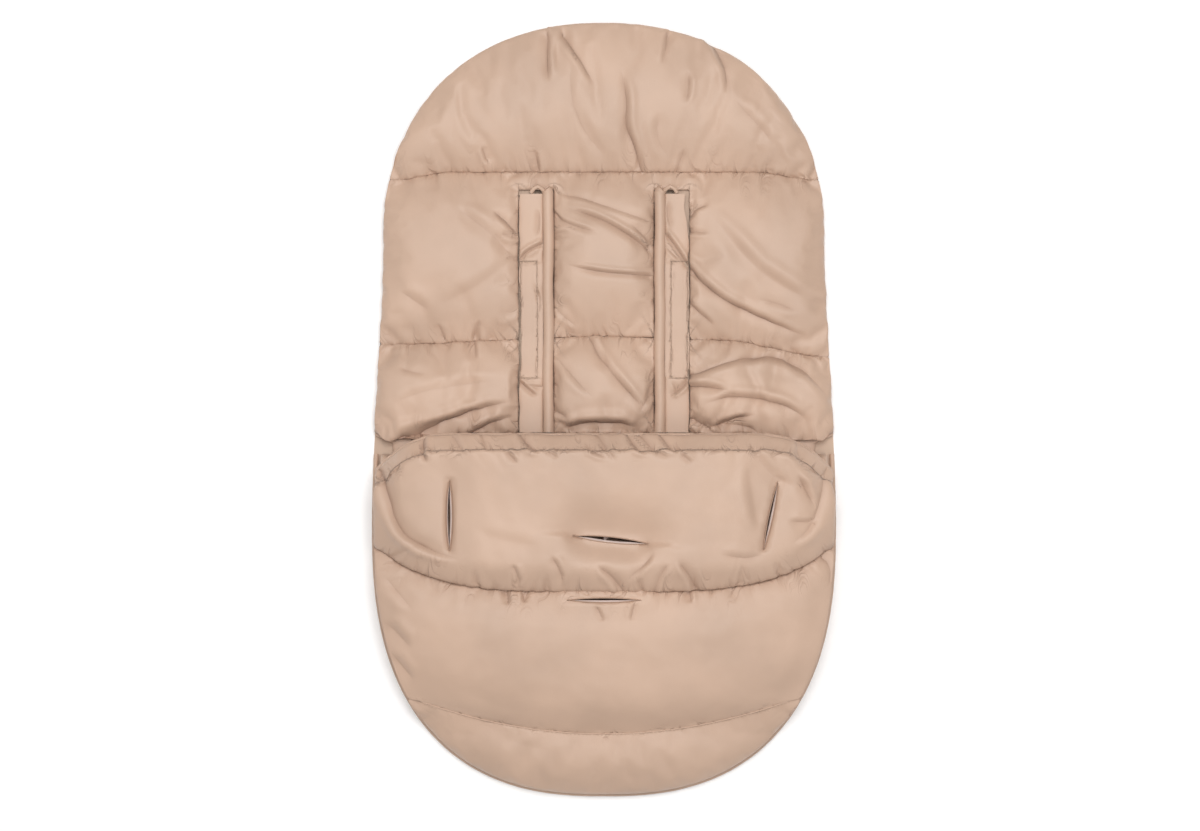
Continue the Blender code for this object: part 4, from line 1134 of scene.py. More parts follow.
bm = grid(148, FLAP_ROWS, flap_plan)
for name in FLAP_SLITS:
    SLITS[name].cut(bm)
cover_shin_line = cross_line(shin_seam, -0.222, 0.222)
cover_toe_line = cross_line(toe_seam, -0.19, 0.19)
hem_points = cross_line(hem_line, -0.224, 0.224, 70)
top_stitch_line = [point - (0, HEM_STITCH) for point in hem_points]
flap = quilt(
    "cover_flap_quilt", bm, slit_base(FLAP_SLITS), flap_swell, cover_inner, 0.0235, seed=21.0,
    bulge=cover_bulge, fullness=0.62, ground=cover_base, sag=flap_sag,
    folds=[
        ([(-222, -58), (-214, -84), (-208, -106), (-196, -124), (-166, -139), (-140, -147)],
         5.5, 4.0, -1, 1, 0),
        ([(-176, -27), (-180, -40), (-174, -52)], 3.4, 2.6, 1, 1, 0),
        ([(-190, -46), (-182, -40), (-172, -36)], 3.0, 1.6, -1),
        ([(218, -62), (214, -92), (204, -116), (182, -134)], 6.0, 2.6, 1, 1, 0),
        ([(142, -46), (147, -82), (154, -124)], 8.0, 2.2, -1),
        ([(149, -42), (160, -58), (174, -69), (191, -76)], 7.0, 1.8, 1, 1, 0),
        ([(191, -42), (199, -56), (219, -64)], 6.2, 1.8, -1, 1, 0),
        ([(190, -62), (200, -80), (210, -96)], 4.4, 2.2, 1),
        ([(180, -108), (196, -110), (214, -108)], 4.0, 1.4, 1),
        ([(-52, -142), (-46, -152), (-42, -162)], 3.6, 1.8, 1, 0, 1),
        ([(-8, -150), (6, -162), (18, -173)], 3.6, 2.2, -1, 0, 1),
        ([(50, -138), (38, -152), (22, -168)], 3.8, 1.8, 1),
        ([(64, -150), (56, -160), (50, -173)], 3.0, 1.6, 1, 0, 1),
        ([(72, -146), (82, -160), (92, -174)], 3.4, 2.0, -1, 0, 1),
        ([(112, -140), (140, -146), (160, -140)], 5.0, 1.2, 1),
        ([(-90, -150), (-84, -165)], 3.2, 1.4, 1, 0, 1),
        ([tuple(point / MM) for point in top_stitch_line[::4]], 1.6, 0.8, 0, 1, 1),
        ([(-98, -36), (-92, -44), (-84, -52)], 2.8, 2.0, 1),
        ([(-84, -27), (-76, -34), (-62, -42)], 3.0, 2.2, -1, 1, 0),
        ([(-58, -36), (-52, -42), (-44, -47)], 2.6, 1.5, 1),
        ([(-20, -32), (-12, -39), (4, -47)], 3.0, 1.8, -1),
        ([(-8, -27), (2, -36), (12, -50)], 2.8, 1.8, 1, 1, 0),
        ([(22, -27), (30, -35), (44, -43)], 3.0, 2.2, -1, 1, 0),
        ([(34, -27), (46, -36), (66, -48)], 3.0, 2.0, 1, 1, 0),
        ([(54, -27), (64, -35), (76, -43)], 2.8, 1.8, -1, 1, 0),
        ([(74, -40), (80, -46), (88, -52)], 2.6, 1.5, 1),
        ([(142, -32), (148, -38), (154, -44)], 2.8, 1.6, -1),
        ([(-148, -30), (-140, -38), (-134, -44)], 2.8, 1.4, 1, 1, 0),
        ([(-122, -27), (-116, -36), (-112, -40)], 2.6, 1.3, -1, 1, 0),
        ([(-130, -116), (-100, -128), (-60, -134)], 8.0, 1.0, 1),
    ],
    seams=[(cover_shin_line, 0.0020, 0.0085, 0.014), (hem_points, 0.0014, 0.0140, 0.008, 0.0),
           (top_stitch_line, 0.0014, 0.0150, 0.012, 0.18, 1.9)],
)
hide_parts("cover_flap")
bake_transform(flap)

shin_plan = band_plan(lambda x: toe_seam(x) + GAP / 2, lambda x: shin_seam(x) - GAP / 2, cover_half)
bm = grid(148, 48, shin_plan)
SLITS["crotch_lower"].cut(bm)
shins = quilt(
    "cover_shin_quilt", bm, slit_base(("crotch_lower",)), shin_swell, cover_inner, 0.0125,
    seed=24.0, spare=0.010, bending=1.2, lumps=0.0005, bulge=cover_bulge, fullness=0.7,
    ground=cover_base, sag=shin_sag,
    folds=[
        ([(-200, -128), (-180, -150), (-156, -164)], 4.0, 1.8, 1, 1, 0),
        ([(-218, -162), (-204, -180), (-188, -198)], 6.0, 1.5, -1),
        ([(-209, -236), (-200, -252), (-188, -268)], 5.0, 1.4, 1),
        ([(-216, -206), (-205, -221), (-190, -236)], 6.5, 1.8, 1),
        ([(-96, -178), (-94, -192)], 3.0, 1.8, 1, 1, 0),
        ([(-80, -180), (-78, -190)], 2.8, 1.4, -1, 1, 0),
        ([(-6, -196), (0, -208)], 2.8, 1.4, 1, 1, 0),
        ([(30, -192), (26, -208)], 2.8, 1.4, -1, 1, 0),
        ([(84, -178), (86, -190)], 2.6, 1.4, 1, 1, 0),
        ([(214, -138), (222, -156), (220, -176)], 4.0, 1.6, 1, 1, 0),
        ([(-60, -300), (-110, -290), (-150, -270)], 9.0, 0.7, 1),
        ([(60, -290), (40, -270), (36, -240)], 12.0, 0.8, 0),
    ],
    seams=[(cover_shin_line, 0.0019, 0.0090, 0.014),
           (cover_toe_line, 0.0005, 0.0085, 0.008, 0.38, 3.5)],
)
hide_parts("cover_shin")


def corners_of(piece, name):
    """Parts the corners beside the flap from a closed piece, at the flap's joint."""
    corners = piece.copy()
    corners.data = piece.data.copy()
    corners.name = name
    scene.collection.objects.link(corners)
    for part in (piece, corners):
        bm = bmesh.new()
        bm.from_mesh(part.data)
        bmesh.ops.bisect_plane(bm, geom=bm.verts[:] + bm.edges[:] + bm.faces[:], dist=1e-7,
                               plane_co=(0, SHIN_SEAM + 0.0006, 0), plane_no=(0, 1, 0),
                               clear_outer=part is piece, clear_inner=part is corners)
        bmesh.ops.holes_fill(bm, edges=[edge for edge in bm.edges if edge.is_boundary], sides=0)
        bmesh.ops.recalc_face_normals(bm, faces=bm.faces)
        bm.to_mesh(part.data)
        bm.free()
        part.data.set_sharp_from_angle(angle=QUILT_SHARP)
    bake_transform(corners)
    return corners


shin_corners = corners_of(shins, "cover_shin_corners")
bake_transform(shins)

toe_plan = end_plan(lambda x: toe_seam(x) - GAP / 2, half_width(ZIP_END, COVER_INSET),
                    rounded_end(ZIP_END - 0.004, TOE_END + 0.003, 0.003))
toe_cover = quilt(
    "cover_toe_quilt", grid(120, 22, toe_plan), cover_base, toe_cover_swell, cover_inner, 0.0110,
    seed=27.0, spare=0.004, bending=1.5, lumps=0.0002, bulge=level(0.0012), sag=toe_sag,
    folds=[([(-120, -312), (-90, -330), (-50, -340)], 8.0, 0.8, 1)],
    seams=[(cover_toe_line, 0.0004, 0.0085, 0.008, 0.38, 3.5)],
)
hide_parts("cover_toe")
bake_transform(toe_cover)


# Linings: a pale brushed cloth on the underside of each channel of the cover. They show in the
# slits and inside the open cover, and rise and fall with its arch.

lining = woven("brushed_lining", (0.76, 0.63, 0.58), roughness=0.9, sheen=0.4, threads=210.0,
               crinkle=9.0, depth=0.0003)


def doubled(bm):
    """Gives a flat sheet a second side, and returns that side's vertices."""
    grown = bmesh.ops.extrude_face_region(bm, geom=bm.faces[:], use_keep_orig=True)
    return [item for item in grown["geom"] if isinstance(item, bmesh.types.BMVert)]


def cloth(name, bm, low, high, finish):
    """Turns a flat sheet of faces into a thin closed cloth between two heights."""
    under = bm.verts[:]
    for verts, height in ((under, low), (doubled(bm), high)):
        x, y = np.array([vertex.co[:2] for vertex in verts]).T
        for vertex, z in zip(verts, height(x, y)):
            vertex.co.z = z
    return as_piece(name, bm, finish)


def lining_top(x, y):
    return cover_inner(x, y) - 0.0003


def lining_low(x, y):
    """The lining's underside, with the soft dimples of its brushed cloth."""
    return lining_top(x, y) - 0.0013 - 0.0003 * np.abs(noise_at(x * 60, y * 60, 3.0))


def inside_lining(spot):
    return abs(spot.x) < half_width(spot.y, 0.020)


bm = grid(100, 30, band_plan(lambda x: shin_seam(x) + GAP / 2, hem_line, cover_half), inside_lining)
for name in FLAP_SLITS:
    SLITS[name].cut(bm)
flap_lining = cloth("flap_lining", bm, lining_low, lining_top, lining)
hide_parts("lining_flap")
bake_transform(flap_lining)

bm = grid(100, 30, shin_plan, inside_lining)
SLITS["crotch_lower"].cut(bm)
shin_lining = cloth("shin_lining", bm, lining_low, lining_top, lining)
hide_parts("lining_shin")
lining_corners = corners_of(shin_lining, "shin_lining_corners")
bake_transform(shin_lining)

bm = grid(80, 14, toe_plan,
          lambda spot: inside_lining(spot) and rim_distance(spot.x, spot.y) > 0.020)
toe_lining = cloth("toe_lining", bm, lining_low, lining_top, lining)
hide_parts("lining_toe")
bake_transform(toe_lining)


# Rear cloths: a plain, matt nylon sewn flat across the muff's back in three panels, which meet at
# the folds. The middle one has a long way through it under each harness slot.

CLOTH = 0.0015
FLAP_IN = 0.061
WAY_FOOT, WAY_HEAD, WAY_OUT = SLOT_FOOT + 0.020, SLOT_TOP - 0.007, 0.070
rear = woven("rear_nylon", (0.55, 0.40, 0.30), roughness=0.62, threads=300.0, depth=0.0001)

low = HEAD_SEAM + GAP / 2
rear_head = cloth(
    "rear_sheet_head", grid(70, 16, end_plan(even_seam(low), half_width(low),
                                             rounded_end(low + 0.004, HEAD_END))),
    level(0.0), level(CLOTH), rear)
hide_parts("rear_cloth_head")
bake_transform(rear_head)


def rear_plan(across, along):
    """Some rows and columns lie on the edges of the ways through."""
    row = np.round(along * 40)
    y = np.where(row <= 4, between(LUMBAR_LOW, WAY_FOOT, row / 4),
                 np.where(row <= 36, between(WAY_FOOT, WAY_HEAD, (row - 4) / 32),
                          between(WAY_HEAD, HEAD_SEAM - GAP / 2, (row - 36) / 4)))
    place = np.abs(across) * 30
    x = np.where(place <= 10, FLAP_IN * place / 10,
                 np.where(place <= 12, between(FLAP_IN, WAY_OUT, (place - 10) / 2),
                          between(WAY_OUT, half_width(y), (place - 12) / 18)))
    return np.sign(across) * x, y


def off_ways(spot):
    return not (WAY_FOOT < spot.y < WAY_HEAD and FLAP_IN < abs(spot.x) < WAY_OUT)


rear_back = cloth("rear_sheet_back", grid(60, 40, rear_plan, off_ways), level(0.0), level(CLOTH),
                  rear)
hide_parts("rear_cloth_back")
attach(rear_back, "back")

high = SEAT_SEAM - GAP / 2
rear_legs = cloth(
    "rear_sheet_legs", grid(90, 44, end_plan(even_seam(high), half_width(high),
                                             rounded_end(high - 0.004, TOE_END))),
    level(0.0), level(CLOTH), rear)
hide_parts("rear_cloth_legs")
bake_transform(rear_legs)


# Cord in the toe seam, piping round the muff's lower edge and the rolled hem at the cover's mouth.
# Each is shell cloth turned over a thin cord and sewn in.

EDGE_RADIUS, HEM_RADIUS, HEM_OUT = 0.0024, 0.0025, 0.0013


def corded(name, points, radius, finish, roundness=4, uneven=0.08, seed=0.0):
    """A filled roll of cloth along a line, whose thickness wanders a little."""
    curve = bpy.data.curves.new(name, "CURVE")
    curve.dimensions = "3D"
    curve.bevel_depth = radius
    curve.bevel_resolution = roundness
    curve.use_fill_caps = True
    spline = curve.splines.new("POLY")
    spline.points.add(len(points) - 1)
    spline.use_smooth = True
    for knot, point in zip(spline.points, points):
        knot.co = (*point, 1.0)
        knot.radius = 1 + uneven * noise.noise(Vector(point) * 150 + Vector((seed, 0, 0)))
    curve.materials.append(finish)
    made = bpy.data.objects.new(name, curve)
    scene.collection.objects.link(made)
    return made


def as_mesh(curve):
    """A mesh in place of the curve."""
    made = bpy.data.objects.new(curve.name + "_mesh", as_seen(curve))
    scene.collection.objects.link(made)
    bpy.data.objects.remove(curve)
    return made


seam_run = [(x, y, float(cover_base(x, y)) + 0.0001)
            for x, y in cross_line(toe_seam, -0.185, 0.185, 120)]
seam_cord = as_mesh(corded("toe_seam_cord", seam_run, 0.0007, shell, 3))
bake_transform(seam_cord)

edge_end = rounded_end(TAB_HIGH, TOE_END + EDGE_RADIUS, EDGE_RADIUS)
edge_run = [(x, y, FLOOR + EDGE_RADIUS) for x, y in zip(*edge_end(np.linspace(-1, 1, 361)))]
edge = corded("edge_cord", edge_run, EDGE_RADIUS, shell, 3)
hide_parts("edge_piping")
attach(edge, "legs")

hem_spots = [np.array(flap_plan(np.array([share]), np.array([1.0]))).ravel()
             for share in np.linspace(-1, 1, 181)]
hem_roll = []
for index, spot in enumerate(hem_spots):
    along = hem_spots[min(index + 1, 180)] - hem_spots[max(index - 1, 0)]
    away = np.array((-along[1], along[0])) / math.hypot(*along) * HEM_OUT
    hem_roll.append((*(spot + away), float(cover_inner(*spot)) + HEM_RADIUS))
hem = corded("hem_roll", hem_roll, HEM_RADIUS, shell, 3, uneven=0.25, seed=4.0)
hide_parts("cover_hem")
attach(hem, "cover_top")


# Belt slits: a narrow lip of turned shell cloth round each opening, sewn through the wadding to
# the pale lining, which lines the inside and shows along one edge.

# A lip's rows: how far into the slit, how far above the shell, and if not from the lining below.
LIP_ROWS = ((0.00010, 0.0, False), (0.00010, 0.0006, True), (0.00055, 0.0011, True),
            (0.00100, 0.0003, True), (0.00110, -0.0022, True), (0.00110, 0.0, False))


def height_at(surface, x, y):
    return float(surface(np.array([x]), np.array([y]))[0])


def slit_lip(name, base, body):
    """The lips, with the lining's edge showing inside on one side."""
    slit = SLITS[name]
    along = slit.length / 2 * np.sin(np.linspace(-math.pi / 2, math.pi / 2, 44))
    bm = bmesh.new()
    rows = []
    for inward, lift, on_shell in LIP_ROWS:
        row = []
        for side in (1, -1):
            for spot in along[::side]:
                tuck = 0.0014 * (lift < 0) * (side > 0)
                half = max(float(slit.half(spot)) - inward - tuck,
                           0.00012 + 0.0004 * (0.0011 - inward))
                x, y = slit.world(side * half, spot * (1 - 0.02 * inward / 0.001))
                z = height_at(base, x, y) + lift
                z += 0.00035 * noise.noise(Vector((x * 300, y * 300, 2.0))) * (lift > 0)
                if not on_shell:
                    z = height_at(lining_low, x, y) - 0.0006
                row.append(bm.verts.new((x, y, z)))
        rows.append(row)
    for index, row in enumerate(rows):
        after = rows[(index + 1) % len(rows)]
        for step in range(len(row)):
            quad = (row[step], row[step - 1], after[step - 1], after[step])
            bm.faces.new(quad).material_index = 1 if index >= 3 else 0
    lip = as_piece("slit_lip_" + name, bm, shell)
    lip.data.materials.append(lining)
    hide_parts("slit_trim_" + name)
    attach(lip, body)


for name in FLAP_SLITS:
    slit_lip(name, slit_base(FLAP_SLITS), "cover_top")
slit_lip("crotch_lower", slit_base(("crotch_lower",)), "cover_shins")


# Harness slots: shell cloth over a thick cord as piping, a long flap sewn in under it, hook tape
# sewn to the flap with a stitched rectangle, and loop tape on an underlap of rear cloth below. The
# flaps' outer edges wander, and they crease beyond the ends of their tapes.

PIPING_X, PIPING_Z, PIPING_RADIUS = 0.0557, 0.0136, 0.0055
FLAP_FLOOR, FLAP_THICK, FLAP_WIDTH = 0.01275, 0.0015, 0.024
TAPE_THICK, TAPE_ROOM = 0.0012, 0.0009
LAP_FLOOR = FLAP_FLOOR - 2 * TAPE_THICK - TAPE_ROOM - FLAP_THICK
TAPE_HIGH = SLOT_TOP - 0.071
TAPE_LOW = TAPE_HIGH - 0.118
TAPE_HALF, LAP_HALF, LAP_OUT = 0.00625, 0.00775, SLOT_OUT - 0.0003
STITCH_IN, STITCH_OUT, STITCH_MARGIN = 0.0668, 0.0834, 0.001
STRIP_FOOT = SEAT_SEAM + 0.0006
FLAP_FOLDS = {
    "left": [([(-84, 152), (-76, 160), (-62, 167)], 2.4, 2.2, 1, 1, 1),
             ([(-64, 163), (-70, 157), (-78, 154)], 1.8, 1.0, -1),
             ([(-84, 29), (-74, 20), (-66, 14)], 2.4, 2.0, 1, 1, 0),
             ([(-62, 24), (-70, 24), (-78, 27)], 2.0, 1.3, -1, 1, 0),
             ([(-66, 204), (-65, 188), (-68, 172)], 2.8, 1.3, 1),
             ([(-72, 130), (-66, 118), (-63, 104)], 2.4, 1.0, 1)],
    "right": [([(62, 176), (70, 166), (83, 146)], 2.6, 2.3, 1, 1, 1),
              ([(62, 164), (70, 156), (76, 150)], 2.0, 1.2, -1, 1, 0),
              ([(84, 30), (76, 22), (64, 14)], 2.4, 2.0, 1, 1, 0),
              ([(66, 30), (72, 24), (74, 12)], 2.0, 1.2, -1),
              ([(64, 212), (63, 196), (68, 180)], 2.8, 1.5, -1)],
}
pile = woven("hook_and_loop", (0.50, 0.37, 0.28), roughness=0.95, threads=430.0, crinkle=12.0,
             depth=0.0006)
thread = woven("thread", (0.52, 0.365, 0.265), roughness=0.55, threads=900.0, crinkle=0.5,
               drift=0.08)


def flap_top(name, x, y):
    """Height of a slot flap: domed, but flat and stitched down over its tape."""
    across = np.clip((np.abs(x) - FLAP_IN) / FLAP_WIDTH, 0, 1)
    inside = eased((y - TAPE_LOW) / 0.004) * eased((TAPE_HIGH - y) / 0.004)
    dome = 0.0016 * np.sqrt(np.clip(4 * across * (1 - across), 0, 1)) * (1 - 0.85 * inside)
    wave = 0.0005 * noise_at(y * 45, np.abs(x) * 20, 5.0 if name == "left" else 9.0)
    fold, _, _ = creases(np.column_stack([x, y]), FLAP_FOLDS[name])
    fold = fold * eased(across / 0.12) * eased((1 - across) / 0.1)
    groove = np.zeros(np.shape(x))
    for line in tape_outline(1 if name == "right" else -1):
        gap, _, _ = nearest(np.column_stack([x, y]), line)
        groove = np.minimum(groove, -0.00045 * bell(gap, 0.0009))
    return FLAP_FLOOR + FLAP_THICK + dome + wave * eased(across / 0.1) + fold + groove


def tape_outline(side):
    """The stitched rectangle: the tape's outline, drawn in by a stitch's margin."""
    inner, outer = side * STITCH_IN, side * STITCH_OUT
    low, high = TAPE_LOW + STITCH_MARGIN, TAPE_HIGH - STITCH_MARGIN
    corners = [np.array(spot)
               for spot in ((outer, low), (inner, low), (inner, high), (outer, high))]
    return [[start, end] for start, end in zip(corners, corners[1:] + corners[:1])]


def stitches(name, line, on, length=0.0026, pitch=0.0038, radius=0.00042, sink=0.0):
    """Thread stitches laid along a line, each on the surface below it and square to it."""
    line = [np.array(point, float) for point in line]
    runs = np.concatenate([[0], np.cumsum([math.hypot(*(b - a)) for a, b in zip(line, line[1:])])])
    bm = bmesh.new()
    for run in np.arange(pitch / 2, runs[-1], pitch):
        spots = [Vector((np.interp(run + shift, runs, [p[0] for p in line]),
                         np.interp(run + shift, runs, [p[1] for p in line]), 0.2))
                 for shift in (-length / 2, 0.0, length / 2)]
        hits = [on.ray_cast(spot, (0, 0, -1)) for spot in spots]
        if not all(hit[0] for hit in hits):
            continue
        along = (hits[2][1] - hits[0][1]).normalized()
        up = hits[1][2]
        across = along.cross(up).normalized()
        turn = Matrix((along, across, along.cross(across))).transposed().to_4x4()
        middle = hits[1][1] - up * sink
        bmesh.ops.create_icosphere(bm, subdivisions=1, radius=1.0,
                                   matrix=Matrix.Translation(middle) @ turn @ Matrix.Diagonal(
                                       (length / 2, radius, radius * 0.8, 1.0)))
    return as_piece(name, bm, thread)


def mirrored(points, side):
    return [(side * x, y, z) for x, y, z in points]


for side, name in ((-1, "left"), (1, "right")):
    top = SLOT_TOP - 0.0035
    straight = [(PIPING_X + 0.0004 * math.sin(y * 70 + side), float(y), PIPING_Z)
                for y in np.linspace(STRIP_FOOT, top, 60)]
    end = [(PIPING_X + 0.0009, top + 0.0024, 0.0143), (PIPING_X + 0.0026, top + 0.0042, 0.0150)]
    piping = corded("slot_cord_" + name, mirrored(straight + end, side), PIPING_RADIUS, shell, 6,
                    0.07, side)
    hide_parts("slot_piping_" + name)
    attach(piping, "back")
    peak = corded("slot_peak_" + name, mirrored([
        (PIPING_X + 0.0040, top + 0.0020, 0.0150), (PIPING_X + 0.0075, top + 0.0050, 0.0172),
        (PIPING_X + 0.0105, top + 0.0066, 0.0182), (PIPING_X + 0.0140, top + 0.0048, 0.0176),
        (PIPING_X + 0.0172, top + 0.0006, 0.0160)], side), 0.0021, shell, 4, 0.15, side)
    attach(peak, "back")

    def flap_strip(across, along, side=side, name=name):
        y = between(STRIP_FOOT, SLOT_TOP - 0.0042, along)
        narrow = 0.0042 * eased((y - TAPE_HIGH - 0.01) / 0.05) if name == "right" else 0.0002
        drawn = 0.0022 * bell(y - 0.075, 0.035) * (name == "left")
        wave = 0.0004 * np.sin(y * 110 + side) + 0.0003 * np.sin(y * 263 + 2 * side)
        x = FLAP_IN + (FLAP_WIDTH - narrow - drawn + wave - 0.0003) * (across + 1) / 2
        return side * x, y

    strip = cloth("slot_strip_" + name, grid(22, 200, flap_strip),
                  lambda x, y, name=name: flap_top(name, x, y) - 0.0012,
                  lambda x, y, name=name: flap_top(name, x, y), shell)
    # Painted shade: the strips' stitched rectangle and fold floors are darkened in the shell's
    # colour.
    spots = spots_of(strip.data)[:, :2]
    outline = [(line, 0, 0, 0, 0.3, 6.0) for line in tape_outline(side)]
    for key, values in marked(spots, FLAP_FOLDS[name], outline, 3.0 + side)[1].items():
        strip.data.attributes.new(key, "FLOAT", "POINT").data.foreach_set("value", values)
    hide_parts("slot_flap_" + name)
    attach(strip, "slot_flap_" + name)
    sewn = stitches("strip_stitches_" + name,
                    [spot for line in tape_outline(side) for spot in line], strip)
    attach(sewn, "slot_flap_" + name)

    def tape_strip(across, along, side=side):
        return (side * (LAP_OUT - LAP_HALF + across * TAPE_HALF),
                between(TAPE_LOW, TAPE_HIGH, along))

    hook = cloth("hook_strip_" + name, grid(8, 60, tape_strip), level(FLAP_FLOOR - 0.0014),
                 level(FLAP_FLOOR - 0.0003), pile)
    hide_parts("hook_tape_" + name)
    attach(hook, "slot_flap_" + name)
    loop = cloth("loop_strip_" + name, grid(8, 60, tape_strip),
                 level(LAP_FLOOR + FLAP_THICK + 0.0003), level(LAP_FLOOR + FLAP_THICK + 0.0014),
                 pile)
    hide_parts("loop_tape_" + name)
    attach(loop, "back")

    def lap_strip(across, along, side=side):
        return side * (LAP_OUT - LAP_HALF * (1 - across)), between(SLOT_FOOT, SLOT_TOP, along)

    lap = cloth("underlap_" + name, grid(8, 90, lap_strip),
                lambda x, y: LAP_FLOOR + 0.0002 * noise_at(x * 90, y * 40, 1.0),
                lambda x, y: LAP_FLOOR + 0.0012 + 0.0002 * noise_at(x * 90, y * 40, 1.0), rear)
    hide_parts("slot_underlap_" + name)
    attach(lap, "back")


# Seam stitches: twisted thread in the grooves between the channels, a little below each seam's
# line, and along the hem's topstitching.

head_stitches = stitches("head_seam_stitches", [(x, y - 0.0012) for x, y in head_line], shoulder)
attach(head_stitches, "back")
for name, piece in lumbar.items():
    piece_stitches = stitches("back_seam_stitches_" + name, [(x, y - 0.0012) for x, y in back_line],
                              piece)
    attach(piece_stitches, "back")
hem_stitches = stitches("hem_stitches", [(x, y + 0.0020) for x, y in top_stitch_line], flap,
                        sink=0.0001)
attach(hem_stitches, "cover_top")
toe_stitches = stitches("toe_seam_stitches", [(x, y - 0.0013) for x, y in cover_toe_line], toe_cover)
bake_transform(toe_stitches)
shin_stitches = stitches("shin_seam_stitches", [(x, y - 0.0014) for x, y in cover_shin_line], shins)
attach(shin_stitches, "cover_shins")


# Side zips: coiled teeth on woven tapes that stand between the pad and the cover, painted metal
# sliders and pulls with bevelled edges, and a folded loop of shell cloth above each zip. Below the
# zips' ends a small panel joins the cover's side to the pad.

UPPER_TIP, LOWER_TIP = 0.0161, 0.0145
ZIP_TAPE, COIL_HEIGHT, COIL_PITCH, COIL_RADIUS, COIL_WIRE = 0.0006, 0.0011, 0.0015, 0.00075, 0.00034
TAB_HALF, TAB_HEIGHT, TAB_CLOTH = 0.00425, 0.0215, 0.0012
band = woven("woven_tape", (0.47, 0.335, 0.245), roughness=0.8, threads=240.0, crinkle=1.0,
             depth=0.0002)
metal = woven("painted_zip_metal", (0.47, 0.34, 0.255), roughness=0.38, threads=60.0,
              crinkle=2.0, depth=0.00002, metallic=0.25)


def zip_half(name, node_name, side, start, end, root, tip, body, band_ends=None):
    """Half a zip: an upright tape from its root to near the teeth, and the coil along its edge."""
    toward = math.copysign(1.0, tip - height_at(root, STRAIGHT_X, start))
    bm = bmesh.new()
    bmesh.ops.create_grid(bm, x_segments=6, y_segments=80, size=1.0)
    spots = np.array([vertex.co for vertex in bm.verts])
    y = between(start, end, (spots[:, 1] + 1) / 2)
    foot = root(zip_x(y), y)
    z = between(foot, tip - toward * 0.0016, (spots[:, 0] + 1) / 2)
    for vertex, place_y, place_z in zip(bm.verts, y, z):
        vertex.co = (side * float(zip_x(place_y)) - ZIP_TAPE / 2, place_y, place_z)
    for vertex in doubled(bm):
        vertex.co.x += ZIP_TAPE
    tape = as_piece(name, bm, band)
    turns = abs(end - start) / COIL_PITCH
    coil = [(side * float(zip_x(y)) + COIL_RADIUS * math.cos(turn), y,
             tip - toward * (COIL_HEIGHT + COIL_RADIUS * math.sin(turn)))
            for turn, y in zip(np.arange(0, turns * 2 * math.pi, math.pi / 4),
                               np.linspace(start, end, int(turns * 8) + 1))]
    teeth = corded(name + "_coil", coil, COIL_WIRE, band, 1, 0.0)
    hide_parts(node_name)
    if band_ends:
        teeth = as_mesh(teeth)
        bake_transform(teeth)
        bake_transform(tape)
    else:
        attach(tape, body)
        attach(teeth, body)


def softened(name, node_name):
    """A bevelled copy of a small metal solid, whose body has the node's name."""
    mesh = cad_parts[node_name].data.copy()
    made = bpy.data.objects.new(name, mesh)
    scene.collection.objects.link(made)
    made.matrix_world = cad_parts[node_name].matrix_world
    weld = made.modifiers.new("weld", "WELD")
    weld.merge_threshold = 0.00001
    bevel = made.modifiers.new("bevel", "BEVEL")
    bevel.width = 0.0003
    bevel.segments = 3
    bevel.limit_method = "ANGLE"
    baked(made)
    made.data.materials.clear()
    made.data.materials.append(metal)
    made.data.shade_smooth()
    made.data.set_sharp_from_angle(angle=math.radians(50))
    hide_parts(node_name)
    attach(made, node_name)


def tab(name, side):
    """The folded cloth loop above a zip's end, lower towards the head."""
    bm = bmesh.new()
    bmesh.ops.create_grid(bm, x_segments=28, y_segments=14, size=1.0)
    for vertex in bm.verts:
        share = (vertex.co.y + 1) / 2
        y = between(TAB_LOW, TAB_HIGH, share)
        late = min(max((share - 0.55) / 0.45, 0), 1)
        height = TAB_HEIGHT * between(1.0, 0.35, 1 - math.sqrt(1 - late ** 2))
        half = TAB_HALF - 0.0004
        legs = height - TAB_HALF - FLOOR
        whole = 2 * legs + math.pi * half
        run = (vertex.co.x + 1) / 2 * whole
        if run < legs:
            x, z = -half, FLOOR + run
        elif run > whole - legs:
            x, z = half, FLOOR + whole - run
        else:
            turn = (run - legs) / half
            x, z = -half * math.cos(turn), FLOOR + legs + half * math.sin(turn)
        x += 0.0003 * noise.noise(Vector((share * 4, run * 150, side)))
        vertex.co = (side * float(zip_x(y)) + x, y, z)
    made = as_piece(name, bm, shell)
    thick = made.modifiers.new("thick", "SOLIDIFY")
    thick.thickness = TAB_CLOTH
    thick.offset = 0.0
    smooth = made.modifiers.new("smooth", "SUBSURF")
    smooth.levels = smooth.render_levels = 1
    baked(made)
    return made


def gusset(name, side):
    """The cover's side below the zip, sewn down to the pad."""
    bm = bmesh.new()
    bmesh.ops.create_grid(bm, x_segments=4, y_segments=24, size=1.0)
    for vertex in bm.verts:
        share = (vertex.co.y + 1) / 2
        y = between(ZIP_END + 0.0015, ZIP_END - 0.046, share)
        x = float(half_width(y, between(ZIP_INSET, 0.0065, share)))
        high = float(cover_inner(x, y)) + 0.0030
        vertex.co = (side * x, y, between(FLOOR, high, (vertex.co.x + 1) / 2))
    for vertex in doubled(bm):
        vertex.co.x -= side * 0.0010
    made = as_piece("zip_end_gusset_" + name, bm, shell)
    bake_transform(made)


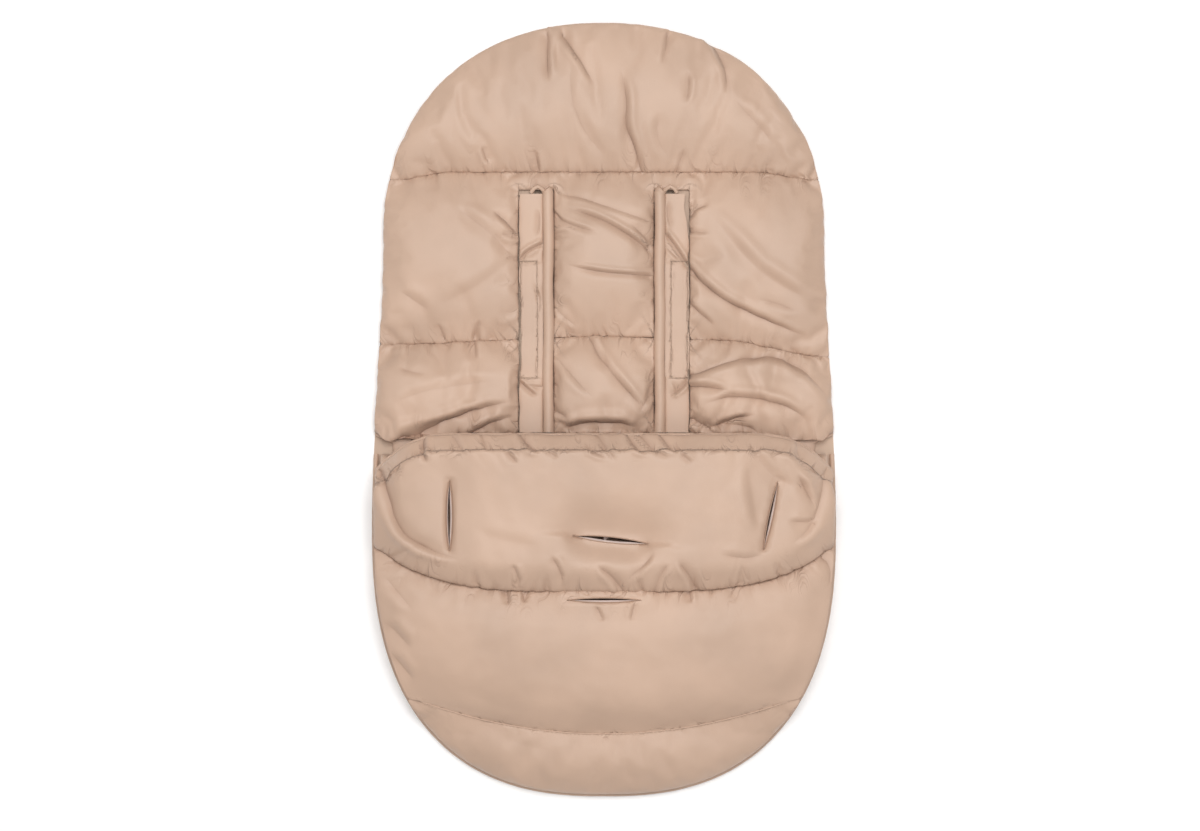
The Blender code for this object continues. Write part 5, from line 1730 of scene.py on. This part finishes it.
split = float(shin_seam(zip_x(SHIN_SEAM)))
for side, name in ((-1, "left"), (1, "right")):
    zip_half("zip_side_pad_" + name, "zip_pad_" + name, side, ZIP_TOP, ZIP_END, level(FLOOR),
             LOWER_TIP, "legs")
    zip_half("zip_side_flap_" + name, "zip_flap_" + name, side, ZIP_TOP, split + GAP / 2, lining_top,
             UPPER_TIP, "cover_top")
    zip_half("zip_side_shin_" + name, "zip_shin_" + name, side, split - GAP / 2, ZIP_END, lining_top,
             UPPER_TIP, "cover_shins", TOE_BAND)
    gusset(name, side)
    softened("slider_" + name, "zip_slider_" + name)
    softened("pull_" + name, "zip_pull_" + name)
    loop = tab("side_tab_" + name, side)
    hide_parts("zip_tab_" + name)
    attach(loop, "legs")


# Stage: a white paper floor, a soft key from the head's end, a fill from the left and a weaker one
# from the lower right, and a camera straight above.

bpy.ops.mesh.primitive_plane_add(size=8.0)
floor = bpy.context.object
floor.name = "floor"
paper = bpy.data.materials.new("white_paper")
paper.use_nodes = True
paper_look = {"Base Color": (0.95, 0.95, 0.95, 1), "Roughness": 0.9, "Emission Color": (1, 1, 1, 1),
              "Emission Strength": 0.08}
for key, value in paper_look.items():
    paper.node_tree.nodes["Principled BSDF"].inputs[key].default_value = value
floor.data.materials.append(paper)


def area_light(name, place, energy, size):
    """A square light that is aimed at the muff's middle."""
    light = bpy.data.lights.new(name, "AREA")
    light.energy, light.size = energy, size
    lamp = bpy.data.objects.new(name, light)
    scene.collection.objects.link(lamp)
    lamp.location = place
    lamp.rotation_euler = (-Vector(place)).to_track_quat("-Z", "Y").to_euler()


area_light("key", (0.12, 0.50, 2.3), 33, 1.0)
area_light("fill", (-1.3, 0.1, 1.9), 10, 1.8)
area_light("low_fill", (1.1, -1.0, 1.8), 9, 1.6)
world = bpy.data.worlds.new("studio")
scene.world = world
world.use_nodes = True
world.node_tree.nodes["Background"].inputs["Color"].default_value = (1, 1, 1, 1)
world.node_tree.nodes["Background"].inputs["Strength"].default_value = 0.36
scene.view_settings.view_transform = "Standard"

LENS, SENSOR = 100, 36
camera = bpy.data.objects.new("camera", bpy.data.cameras.new("camera"))
scene.collection.objects.link(camera)
camera.data.lens = LENS
camera.data.sensor_width = SENSOR
camera.location = (-0.004, -0.0045, 1.2 * LENS / SENSOR + 0.01)
scene.camera = camera
